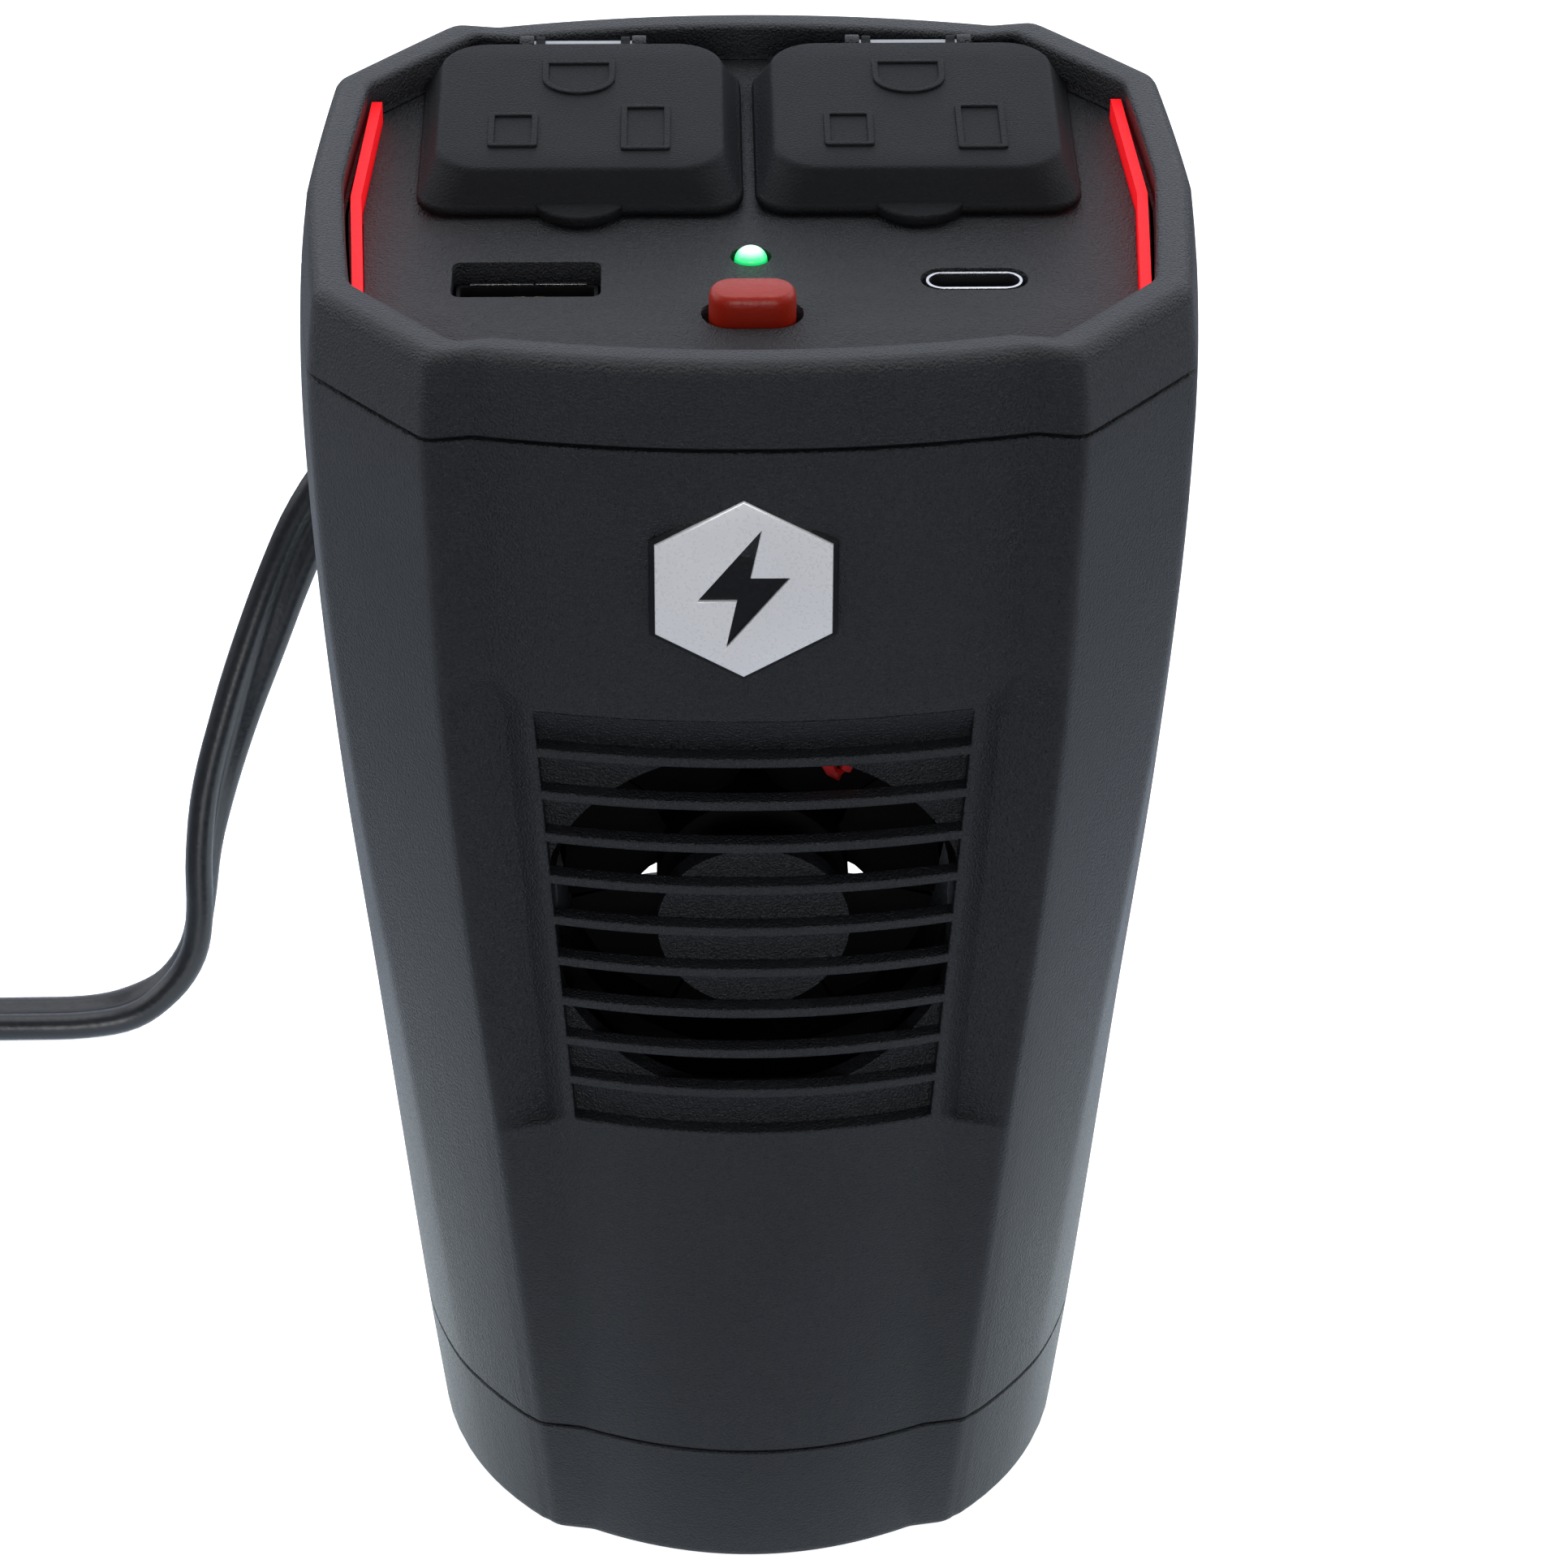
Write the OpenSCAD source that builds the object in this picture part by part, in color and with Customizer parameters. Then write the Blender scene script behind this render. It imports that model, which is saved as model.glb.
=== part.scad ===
// Power inverter for a vehicle: a tapered can that stands in a cup holder, with two covered mains
// outlets, two USB ports, a power button and a fan, and a 12 V lead with a plug. Millimetres.
// The origin is the middle of the base: +X is the right side, -Y the front, +Z up.

/* [Housing] */
// Height of the rim above the base
body_h = 143; // [142.6:0.1:143.6]
// Height of the parting line under the top cap
cap_z = 134.7; // [134.2:0.1:135]
// Height of the parting line above the base cap
base_z = 15.5; // [14.5:0.5:16.5]
// Wall thickness of the casings
wall = 2; // [1.8:0.1:2.2]
// Gap on each side of a parting line
seam = 0.15; // [0.1:0.05:0.2]

/* [Top panel] */
// Depth of the panel below the rim
recess = 3.6; // [3.4:0.1:3.8]
// Width of the rim
rim_w = 3.4; // [3:0.1:3.6]
// Thickness of the panel
panel_t = 2.4; // [2.2:0.1:2.6]
// Distance of each outlet from the centre line
outlet_x = 15.95; // [15.9:0.05:16.2]
// Width of the power button
button_w = 8; // [7.6:0.1:8.4]
// Travel of the power button
button_travel = 1.8; // [1:0.1:2]

/* [Outlet covers] */
// Width of a cover at its foot
cover_w = 30.8; // [30:0.1:31]
// Height of a cover above the panel
cover_h = 4.2; // [4:0.1:4.4]
// Wall thickness of a cover
cover_t = 1.3; // [1.1:0.1:1.5]

/* [Grille and fan] */
// Height of the fan's axis above the base
fan_z = 81.5; // [81:0.1:82]
// Width of the fan's square frame
fan_w = 40; // [39:0.5:40]
// Number of slats across the front grille
slats = 9; // [9:1:9]
// Distance from one slat to the next
slat_pitch = 4.85; // [4.8:0.01:4.9]
// Thickness of a slat
slat_t = 1.2; // [1.1:0.1:1.4]
// Depth of the grooves between the slats
groove = 1.8; // [1.6:0.1:1.9]
// Number of fan blades
blades = 7; // [5:1:9]

/* [Lead and plug] */
// Width of the flat twin lead
lead_w = 6.4; // [6:0.1:6.8]
// Thickness of the flat twin lead
lead_t = 3.2; // [3:0.1:3.4]
// Radius of the coil at the middle of the lead
coil_r = 38; // [37:0.5:38.5]
// Radius of the plug's nose
nose_r = 10.4; // [10.3:0.05:10.45]
// Radius of the plug's handle
handle_r = 13; // [12.5:0.1:13]

/* [Hidden] */
$fn = 48;

HOUSING = [0.19, 0.2, 0.22];
RUBBER = [0.13, 0.14, 0.15];
BLACK = [0.06, 0.06, 0.07];
STEEL = [0.72, 0.73, 0.75];
BRASS = [0.8, 0.62, 0.3];
BOARD = [0.05, 0.32, 0.14];

// Sections of the can: height, then half width at the side ridge, the rear corner of the side (x, y),
// the ridge beside the front (x, y), the valley beside the front (x, y), half depth at the middle,
// and how round the facets are
SECTIONS = [
  [0, 32.5, 28.0, 18.6, 20.5, 27.3, 16.6, 28.0, 32.2, 1],
  [15.5, 34.4, 29.8, 19.3, 21.8, 29.0, 17.5, 29.7, 33.8, 0.85],
  [56, 38.5, 34.2, 20.6, 25.2, 31.0, 20.5, 31.2, 34.9, 0.5],
  [81, 41.0, 37.2, 21.2, 27.4, 32.3, 22.7, 32.2, 35.5, 0.3],
  [107, 42.6, 39.7, 21.8, 29.0, 33.5, 24.6, 33.1, 36.1, 0.15],
  [122, 42.9, 40.4, 22.3, 29.3, 34.3, 25.1, 33.7, 36.6, 0.1],
  [134.7, 42.3, 40.5, 22.5, 29.5, 34.8, 25.3, 34.1, 36.9, 0.1],
  [body_h, 41.3, 39.7, 22.0, 29.0, 34.1, 24.8, 33.4, 36.1, 0.1]];
SIDE_BULGE = 1.4;
DIAGONAL_BULGE = 0.5;
ARC_STEPS = 5;
FACET_STEPS = 2;

panel_z = body_h - recess;
under_z = panel_z - panel_t;
cover_y = [-1.2, 28.0];
cover_mid_y = (cover_y[0] + cover_y[1]) / 2;
cover_d = cover_y[1] - cover_y[0];
plateau_w = 26.4;
plateau_y = [0.9, 27.0];
hinge_y = 29.3;
hinge_z = panel_z + 3;
pin_r = 0.6;
outlet_y = 14.4;
outlet_hole = 25.4;
blade_y = 8.4;
ground_y = 20.3;
ground_r = 2.65;
grille_top = 105.5;
grille_bottom = 57.3;
grille_half = [17.3, 20.2];
badge_x = -1;
badge_y = -35.35;
badge_z = 120.4;
badge_r = 9.6;
pad_t = 4;
opening_r = 19.3;
hub_r = 9.2;
fan_y = [-27.8, -17.3];
board_top = 124;
board_t = 1.6;
button_y = -19.8;
button_d = 4.5;
button_top = body_h - 0.95;
button_slot = 1.3;
usb_y = -13.4;
usb_a_y = -13.1;
usb_a_x = -20.7;
usb_a_top = panel_z - 1.9;
usb_c_x = 20.5;
led_y = -8.8;
led_r = 1.5;
led_z = panel_z - 0.55;
exit_x = -14;
exit_z = 84;
boot_end = 58;
cap_screw_at = [34.2, 13];
case_screw_at = [[36, 113], [29.5, 34]];
fan_screw = 16;
base_screw_at = [12, 22.5];
coil_at = [-146, 23];
coil_z = [0.9, 11.7];
plug_y = -33;
plug_tail = -163;

// Route of the lead from the strain relief to the coil: place, then the direction of its width
ROUTE = [
  [[exit_x, boot_end, exit_z], [1, 0, 0]], [[-14.2, 62.5, 84], [1, 0.1, 0]],
  [[-16.4, 67.8, 83.5], [1, 0.4, -0.2]], [[-20.8, 72, 82.2], [1, 0.6, -0.4]],
  [[-27.5, 75.2, 79.6], [0.6, 0.2, -0.8]], [[-36, 77.5, 75.3], [0.65, 0, -0.75]],
  [[-43.5, 77.5, 68.5], [0.7, 0, -0.7]], [[-48.5, 76.6, 61.5], [0.9, 0.05, -0.45]],
  [[-52, 75.5, 54], [1, 0.1, -0.4]], [[-55, 73.8, 46.5], [1, 0.3, -0.3]], [[-58.2, 71.5, 38], [1, 0.7, -0.3]],
  [[-61, 69, 29.3], [0.8, 1, -0.3]], [[-62.6, 66.8, 21.5], [0.3, 1, -0.2]], [[-63.2, 65, 14.8], [0, 1, -0.2]],
  [[-64.3, 63.6, 9.6], [-0.1, 1, -0.3]], [[-67.2, 62.5, 5.4], [-0.2, 1, -0.3]],
  [[-71.6, 61.7, 2.7], [-0.2, 1, 0]], [[-77, 61.1, 1.8], [0, 1, 0]], [[-85, 60.8, 1.8], [0, 1, 0]],
  [[-97, 60.8, 1.8], [0, 1, 0]],
  [[-110, 61, 1.8], [0, 1, 0]], [[-128, 61, 2.1], [0, 1, 0]], [[-146, 61, 2.6], [0, 1, 0]]];

// Route of the lead from the coil to the plug
TAIL = [
  [[-184, 23, 10], [1, 0, 0]], [[-184.3, 15, 9.2], [1, 0, 0]], [[-184.4, 7, 6.8], [1, 0, 0]],
  [[-184.4, -1, 3.9], [1, 0, 0]], [[-184.2, -8, 2.2], [1, 0, 0]], [[-183.2, -15, 2.3], [1, 0.2, 0]],
  [[-180.6, -21.5, 4.2], [1, 0.4, 0]], [[-176.1, -27.1, 7.4], [1, 0.8, 0]], [[-170, -31.5, 11], [0.5, 1, 0]],
  [[plug_tail, plug_y, handle_r], [0, 1, 0]]];

function at(z, k) = lookup(z, [for (s = SECTIONS) [s[0], s[k]]]);

// Points from p up to q, bowed outwards by bulge
function bowed(p, q, bulge, n) = let (d = q - p, side = [d[1], -d[0]] / norm(d))
  [for (i = [0 : n - 1]) let (u = i / n) p + u * d + side * bulge * 4 * u * (1 - u)];

// The front right quarter of the outline, from the middle of the front to just before the side ridge
function quarter(z) = let (
    ridge = [at(z, 4), -at(z, 5)], corner = [at(z, 2), -at(z, 3)], side = [at(z, 1), 0],
    ix = at(z, 6), iy = at(z, 7), m = at(z, 8), roundness = at(z, 9))
  concat(
    [for (i = [0 : ARC_STEPS]) let (u = i / ARC_STEPS) [ix * u, -(m - (m - iy) * u * u)]],
    bowed(ridge, corner, DIAGONAL_BULGE * roundness, FACET_STEPS),
    bowed(corner, side, SIDE_BULGE * roundness, FACET_STEPS));

function reversed(v) = [for (i = [len(v) - 1 : -1 : 0]) v[i]];

// The whole outline at a height, drawn in by t
function outline(z, t) = let (
    q = quarter(z), s = at(z, 1), m = at(z, 8),
    right = concat(q, [[s, 0]], reversed([for (p = q) [p[0], -p[1]]])),
    left = reversed([for (i = [1 : len(right) - 2]) [-right[i][0], right[i][1]]]))
  [for (p = concat(right, left)) [p[0] * (s - t) / s, p[1] * (m - t) / m]];

// A closed solid through a list of rings of equally many points
module skin(rings) {
  n = len(rings[0]);
  last = len(rings) - 1;
  polyhedron(
    points = [for (r = rings) for (p = r) p],
    faces = concat(
      [[for (i = [0 : n - 1]) i]],
      [for (k = [0 : last - 1]) for (i = [0 : n - 1])
        [k * n + i, (k + 1) * n + i, (k + 1) * n + (i + 1) % n, k * n + (i + 1) % n]],
      [[for (i = [n - 1 : -1 : 0]) last * n + i]]),
    convexity = 6);
}

// The can between two heights, drawn in by t
module can(z0, z1, t) {
  mids = [for (s = SECTIONS) if (s[0] > z0 + 0.5 && s[0] < z1 - 0.5) s[0]];
  skin([for (z = concat([z0], mids, [z1])) [for (p = outline(z, t)) [p[0], p[1], z]]]);
}

// One half of the can: side -1 is the front half, 1 the rear half
module half_can(z0, z1, side) {
  intersection() {
    can(z0, z1, 0);
    translate([-60, side > 0 ? seam : -60, -5]) cube([120, 60 - seam, 160]);
  }
}

// A plate with round corners, centred on the origin
module plate(w, d, h, r) {
  linear_extrude(h) {
    square([w - 2 * r, d], center = true);
    square([w, d - 2 * r], center = true);
    for (x = [-1, 1], y = [-1, 1]) translate([x * (w / 2 - r), y * (d / 2 - r)]) circle(r);
  }
}

// A bar with round ends, along X
module bar(w, d, h) {
  linear_extrude(h) {
    square([w - d, d], center = true);
    for (x = [-1, 1]) translate([x * (w - d) / 2, 0]) circle(d / 2);
  }
}

// A cylinder along +Y from y0 to y1, and one along +X
module rod_y(x, z, y0, y1, r) { translate([x, y1, z]) rotate([90, 0, 0]) cylinder(h = y1 - y0, r = r); }
module rod_x(y, z, x0, x1, r) { translate([x0, y, z]) rotate([0, 90, 0]) cylinder(h = x1 - x0, r = r); }

// A box between two corners
module box(a, b) { translate(a) cube(b - a); }

// The trapezium of the grille, grown by m, through the front wall
module grille_prism(m) {
  translate([0, -20, 0]) rotate([90, 0, 0]) linear_extrude(30)
    polygon([[-grille_half[0] - m, grille_bottom - m], [grille_half[0] + m, grille_bottom - m],
      [grille_half[1] + m, grille_top + m], [-grille_half[1] - m, grille_top + m]]);
}

// The gaps between the slats, as flat slabs
module grille_gaps() {
  first = fan_z + slat_pitch * (slats - 1) / 2;
  for (i = [0 : slats]) {
    low = i == slats ? grille_bottom : first - i * slat_pitch + slat_t / 2;
    high = i == 0 ? grille_top : first - (i - 1) * slat_pitch - slat_t / 2;
    box([-25, -50, low], [25, -20, high]);
  }
}

// ---- casing ----

module shell_bosses(side) {
  for (x = [-1, 1]) {
    for (p = case_screw_at)
      if (side > 0) intersection() {
        rod_y(x * p[0], p[1], seam, 30, 4.2);
        can(base_z + 1, cap_z - 1, 0.6);
      }
      else rod_y(x * p[0], p[1], -14, -seam, 3.2);
    translate([x * cap_screw_at[0], side * cap_screw_at[1], 126]) cylinder(h = 2.8, r = 3);
    box([min(x * cap_screw_at[0], x * 39.6), side * cap_screw_at[1] - 2, 126],
      [max(x * cap_screw_at[0], x * 39.6), side * cap_screw_at[1] + 2, 128.8]);
    translate([x * base_screw_at[0], side * base_screw_at[1], base_z + 0.7]) cylinder(h = 7, r = 3);
    box([x * base_screw_at[0] - 1.5, min(side * base_screw_at[1], side * 31), base_z + 0.7],
      [x * base_screw_at[0] + 1.5, max(side * base_screw_at[1], side * 31), base_z + 7.7]);
  }
}

module shell_holes(side) {
  for (x = [-1, 1]) {
    for (p = case_screw_at)
      if (side > 0) {
        rod_y(x * p[0], p[1], -1, 40, 1.4);
        rod_y(x * p[0], p[1], 8, 40, 2.6);
      }
      else rod_y(x * p[0], p[1], -12, 1, 1.2);
    translate([x * cap_screw_at[0], side * cap_screw_at[1], 120]) cylinder(h = 10, r = 1.4);
    translate([x * base_screw_at[0], side * base_screw_at[1], base_z - 1]) cylinder(h = 7.5, r = 1.2);
  }
}

module front_shell() {
  color(HOUSING) difference() {
    union() {
      difference() {
        half_can(base_z + seam, cap_z - seam, -1);
        can(base_z - 1, cap_z + 1, wall);
      }
      intersection() {
        grille_prism(1.5);
        difference() {
          can(grille_bottom - 4, grille_top + 4, 1);
          can(grille_bottom - 5, grille_top + 5, pad_t);
        }
      }
      shell_bosses(-1);
      for (x = [-fan_screw, fan_screw], z = [-fan_screw, fan_screw]) {
        rod_y(x, fan_z + z, -30.2, fan_y[0] - 0.1, 3);
        rod_y(x, fan_z + z, -30.2, fan_y[0] + 4, 1.45);
      }
    }
    intersection() {
      grille_gaps();
      difference() {
        grille_prism(0);
        can(grille_bottom - 5, grille_top + 5, groove);
      }
    }
    intersection() {
      grille_gaps();
      difference() {
        rod_y(0, fan_z, -50, -25, opening_r);
        rod_y(0, fan_z, -51, -24, hub_r);
      }
    }
    translate([badge_x, badge_y, badge_z]) rotate([90, 30, 0]) cylinder(h = 4, r = badge_r + 0.4, $fn = 6);
    shell_holes(-1);
  }
}

module rear_shell() {
  color(HOUSING) difference() {
    union() {
      difference() {
        half_can(base_z + seam, cap_z - seam, 1);
        can(base_z - 1, cap_z + 1, wall);
      }
      shell_bosses(1);
    }
    for (i = [0 : 9]) box([-13, 25, 26 + 5 * i], [13, 45, 28.8 + 5 * i]);
    rod_y(exit_x, exit_z, 25, 45, 4.2);
    shell_holes(1);
  }
}

module base_cap() {
  color(HOUSING) difference() {
    union() {
      difference() {
        can(0, base_z - seam, 0);
        can(2, base_z + 1, wall);
      }
      for (x = [-1, 1], y = [-1, 1])
        translate([x * base_screw_at[0], y * base_screw_at[1], 1]) cylinder(h = base_z - 1, r = 3.4);
    }
    for (x = [-1, 1], y = [-1, 1]) translate([x * base_screw_at[0], y * base_screw_at[1], -1]) {
      cylinder(h = 20, r = 1.4);
      cylinder(h = 7, r = 2.6);
    }
  }
}

module strip(side, grow, z0, z1) {
  bend = 36.9;
  end = 35.8;
  half = 0.5 + grow;
  reach = 19.8 + grow;
  translate([0, 0, z0]) linear_extrude(z1 - z0) polygon([for (p = [
    [bend + half, 0], [end + half, reach], [end - half, reach], [bend - half, 0],
    [end - half, -reach], [end + half, -reach]]) [side * p[0], p[1]]]);
}

module top_cap() {
  color(HOUSING) difference() {
    union() {
      difference() {
        can(cap_z + seam, body_h, 0);
        can(cap_z - 1, under_z, wall);
        translate([0, 0, panel_z]) linear_extrude(10) polygon(outline(body_h, rim_w));
      }
      for (x = [-1, 1], y = [-1, 1])
        translate([x * cap_screw_at[0], y * cap_screw_at[1], 129]) cylinder(h = under_z - 128.9, r = 2.6);
      for (s = [-1, 1], e = [-1, 1]) {
        rod_x(hinge_y, hinge_z, s * outlet_x + e * 5.5 - 0.7, s * outlet_x + e * 5.5 + 0.7, 1.1);
        box([s * outlet_x + e * 5.5 - 0.7, hinge_y - 1.1, panel_z - 0.5],
          [s * outlet_x + e * 5.5 + 0.7, hinge_y + 1.1, hinge_z]);
      }
    }
    for (s = [-1, 1]) {
      translate([s * outlet_x, outlet_y, under_z - 1]) plate(outlet_hole, outlet_hole, 10, 3);
      rod_x(hinge_y, hinge_z, s * outlet_x - 8, s * outlet_x + 8, pin_r);
      strip(s, 0, panel_z - 1.2, body_h);
    }
    for (x = [-1, 1], y = [-1, 1])
      translate([x * cap_screw_at[0], y * cap_screw_at[1], 128]) cylinder(h = 7, r = 1.2);
    translate([usb_a_x, usb_a_y, under_z - 1]) plate(13.7, 6.7, 10, 0.9);
    translate([usb_c_x, usb_y, under_z - 1]) bar(9.9, 4.2, 10);
    translate([0, button_y, under_z - 1]) bar(button_w + button_slot, button_d + button_slot, 10);
    translate([0, led_y, under_z - 1]) cylinder(h = 10, r = 1.9);
  }
}

module accent_strip_left() { color([0.86, 0.06, 0.1]) strip(-1, 0, panel_z - 1.2, panel_z + 1.8); }
module accent_strip_right() { color([0.86, 0.06, 0.1]) strip(1, 0, panel_z - 1.2, panel_z + 1.8); }

module badge_plate() {
  color([0.8, 0.81, 0.83]) difference() {
    translate([badge_x, badge_y, badge_z]) rotate([90, 30, 0]) cylinder(h = 1.45, r = badge_r, $fn = 6);
    translate([badge_x, badge_y - 0.95, badge_z]) rotate([90, 0, 0]) linear_extrude(2)
      polygon([[1.6, 6.2], [-4.2, -1.2], [-0.6, -1.2], [-1.6, -6.2], [4.2, 1.2], [0.6, 1.2]]);
  }
}

// ---- top panel pieces ----

module status_led() {
  color([0.2, 0.9, 0.35]) translate([0, led_y, 0]) {
    translate([0, 0, under_z - 2.4]) cylinder(h = 0.9, r = 1.9);
    translate([0, 0, under_z - 1.6]) cylinder(h = led_z - under_z + 1.6, r = led_r);
    translate([0, 0, led_z]) sphere(r = led_r);
  }
}

module led_leads() {
  color(STEEL) for (x = [-1.27, 1.27])
    box([x - 0.25, led_y - 0.25, board_top], [x + 0.25, led_y + 0.25, under_z - 2.4]);
}

module usb_a_shell() {
  color(STEEL) translate([usb_a_x, usb_a_y, board_top]) difference() {
    plate(13.1, 5.7, usb_a_top - board_top, 0.6);
    translate([0, 0, 1]) plate(12.4, 5.0, 20, 0.4);
  }
}

module usb_a_tongue() {
  color(BLACK) translate([usb_a_x, usb_a_y, board_top + 1]) {
    box([-6.15, -2.45, 0], [6.15, 2.45, 3]);
    box([-5.6, -2.1, 2.9], [5.6, -0.3, usb_a_top - board_top - 1.5]);
  }
}

module usb_a_contacts() {
  color(BRASS) translate([usb_a_x, usb_a_y, 0]) {
    for (x = [-3.5, -1, 1, 3.5]) box([x - 0.5, -0.3, board_top + 5], [x + 0.5, 0, usb_a_top - 0.2]);
    for (x = [-1, 1]) box([x - 0.5, -1.2, usb_a_top - 0.5], [x + 0.5, -0.1, usb_a_top - 0.2]);
  }
}

module usb_c_shell() {
  color(STEEL) translate([usb_c_x, usb_y, board_top]) difference() {
    bar(8.94, 3.26, panel_z - 0.5 - board_top);
    translate([0, 0, 4]) bar(8.34, 2.66, 20);
  }
}

module usb_c_tongue() {
  color(BLACK) translate([usb_c_x, usb_y, board_top + 4])
    box([-3.35, -0.35, 0], [3.35, 0.35, panel_z - board_top - 5.3]);
}

module outlet(side) {
  color(BLACK) translate([side * outlet_x, outlet_y, 0]) difference() {
    union() {
      plate_z = under_z - 2;
      translate([0, 0, plate_z]) plate(28.4, 27.6, 1.95, 2);
      translate([0, 0, plate_z + 1]) plate(25, 25, panel_z - plate_z - 1, 2.8);
      translate([0, -0.9, plate_z + 1]) plate(24, 22.6, panel_z + 1.4 - plate_z - 1, 2.8);
      translate([0, 0, 117]) plate(24, 24, plate_z - 116, 2);
    }
    translate([-7.45, blade_y - outlet_y - 4.25, 119]) cube([2.2, 8.5, 40]);
    translate([5.35, blade_y - outlet_y - 3.5, 119]) cube([1.9, 7, 40]);
    translate([0, ground_y - outlet_y, 119]) cylinder(h = 40, r = ground_r);
  }
}

module outlet_left() { outlet(-1); }
module outlet_right() { outlet(1); }

// Three contacts under an outlet: two blade clips and the earth clip
module outlet_contacts(side) {
  color(BRASS) translate([side * outlet_x, 0, 0]) {
    for (x = [-6.35, 6.3]) box([x - 1.4, blade_y - 3, 113.5], [x + 1.4, blade_y + 3, 116.9]);
    translate([0, ground_y, 113.5]) cylinder(h = 3.4, r = 2.2);
  }
}

module outlet_contacts_left() { outlet_contacts(-1); }
module outlet_contacts_right() { outlet_contacts(1); }

module switch_body() {
  color(BLACK) difference() {
    translate([0, button_y, board_top]) plate(8.5, 8.5, 3.6, 0.5);
    translate([0, button_y, board_top + 0.8]) cylinder(h = 5, r = 1.6);
  }
}

module power_button() {
  color([0.72, 0.15, 0.06]) translate([0, button_y, 0]) {
    translate([0, 0, under_z - 1]) bar(button_w, button_d, button_top - 0.6 - under_z + 1);
    translate([0, 0, button_top - 0.7]) bar(button_w - 0.8, button_d - 0.8, 0.7);
    translate([0, 0, under_z - 1.8]) bar(button_w + 3, button_d + 3, 1.5);
    translate([0, 0, 127]) cylinder(h = under_z - 128, r = 1.4);
  }
}

// A coil spring along +Z: the wire's centre line, then its skin
module coil_spring(r, wire, z0, z1, turns) {
  steps = 14;
  lift = (z1 - z0 - 2 * wire) / (turns * steps);
  skin([for (i = [0 : turns * steps]) let (a = 360 * i / steps)
    [for (k = [0 : 5]) let (b = -60 * k)
      [(r + wire * cos(b)) * cos(a), (r + wire * cos(b)) * sin(a),
        z0 + wire + i * lift + wire * sin(b)]]]);
}

module button_spring() {
  color(STEEL) translate([0, button_y, 0]) coil_spring(2.4, 0.25, board_top + 3.62, under_z - 1.82, 4);
}

module hinge_pin(side) {
  color(STEEL) rod_x(hinge_y, hinge_z, side * outlet_x - 6.2, side * outlet_x + 6.2, pin_r);
}

module hinge_pin_left() { hinge_pin(-1); }
module hinge_pin_right() { hinge_pin(1); }

// A closed frame of thin ribs round a rectangle, on the plateau of a cover
module mark(x, y, w, d) {
  line = 0.6;
  translate([x, y, panel_z + cover_h - 0.1]) difference() {
    box([-w / 2, -d / 2, 0], [w / 2, d / 2, 0.35]);
    box([-w / 2 + line, -d / 2 + line, -1], [w / 2 - line, d / 2 - line, 1]);
  }
}

// A half disc with its straight sides carried on to a flat side at the back
module arch(r, reach) {
  circle(r);
  translate([-r, 0]) square([2 * r, reach]);
}

module cover_body(t) {
  foot_z = panel_z + 0.25;
  plateau_mid = (plateau_y[0] + plateau_y[1]) / 2;
  plateau_d = plateau_y[1] - plateau_y[0];
  hull() {
    translate([0, cover_mid_y, foot_z + (t > 0 ? -1 : 0.8)])
      plate(cover_w - 1 - 2 * t, cover_d - 1 - 2 * t, 0.1, 4.5 - t, $fn = 32);
    translate([0, plateau_mid, panel_z + cover_h - 0.1 - t])
      plate(plateau_w - 2 * t, plateau_d - 2 * t, 0.1, 4 - t, $fn = 32);
  }
}

// A rubbery outlet cover with its hinge knuckles and pull tab
module cover(side) {
  foot_z = panel_z + 0.25;
  color(RUBBER) translate([side * outlet_x, 0, 0]) {
    difference() {
      union() {
        cover_body(0);
        translate([0, cover_mid_y, foot_z]) plate(cover_w, cover_d, 0.85, 5);
        intersection() {
          translate([0, 0.85, foot_z]) cylinder(h = 1.3, r = 4.45);
          box([-6, -5, foot_z], [6, 0.6, foot_z + 2]);
        }
        for (e = [-1, 1]) {
          rod_x(hinge_y, hinge_z, e * 4.15 - 0.45, e * 4.15 + 0.45, 1);
          box([e * 4.15 - 0.45, 26, hinge_z - 0.9], [e * 4.15 + 0.45, hinge_y, hinge_z + 0.8]);
        }
      }
      cover_body(cover_t);
      rod_x(hinge_y, hinge_z, -8, 8, pin_r + 0.05);
    }
    mark(-6.4, blade_y + 0.4, 4.7, 7.2);
    mark(6.2, blade_y + 1, 4.7, 9.8);
    translate([-0.3, ground_y - 0.4, panel_z + cover_h - 0.1]) linear_extrude(0.35) difference() {
      arch(3.5, 3.8);
      arch(2.9, 3.2);
    }
  }
}

module cover_left() { cover(-1); }
module cover_right() { cover(1); }

// ---- fan ----

module fan_frame() {
  color(BLACK) difference() {
    union() {
      difference() {
        translate([0, fan_y[1], fan_z]) rotate([90, 0, 0]) plate(fan_w, fan_w, fan_y[1] - fan_y[0], 3);
        rod_y(0, fan_z, fan_y[0] - 1, fan_y[1] + 1, 18.9);
      }
      for (a = [90, 210, 330]) translate([0, 0, fan_z]) rotate([0, a, 0])
        box([3, fan_y[1] - 1.6, -1.2], [19.5, fan_y[1], 1.2]);
      rod_y(0, fan_z, fan_y[1] - 2, fan_y[1], 5);
    }
    rod_y(0, fan_z, -30, -10, 1.06);
    for (x = [-fan_screw, fan_screw], z = [-fan_screw, fan_screw]) rod_y(x, fan_z + z, -30, -10, 1.7);
  }
}

module fan_rotor() {
  color([0.09, 0.09, 0.1]) difference() {
    union() {
      rod_y(0, fan_z, -27, -20, hub_r);
      for (i = [0 : blades - 1]) translate([0, -23.4, fan_z]) rotate([0, i * 360 / blades + 13, 0])
        rotate([38, 0, 0]) box([8.6, -4, -0.5], [18.0, 4, 0.5]);
    }
    rod_y(0, fan_z, -24, -10, 1);
  }
}

module fan_shaft() { color(STEEL) rod_y(0, fan_z, -24, -17.6, 1); }

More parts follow.
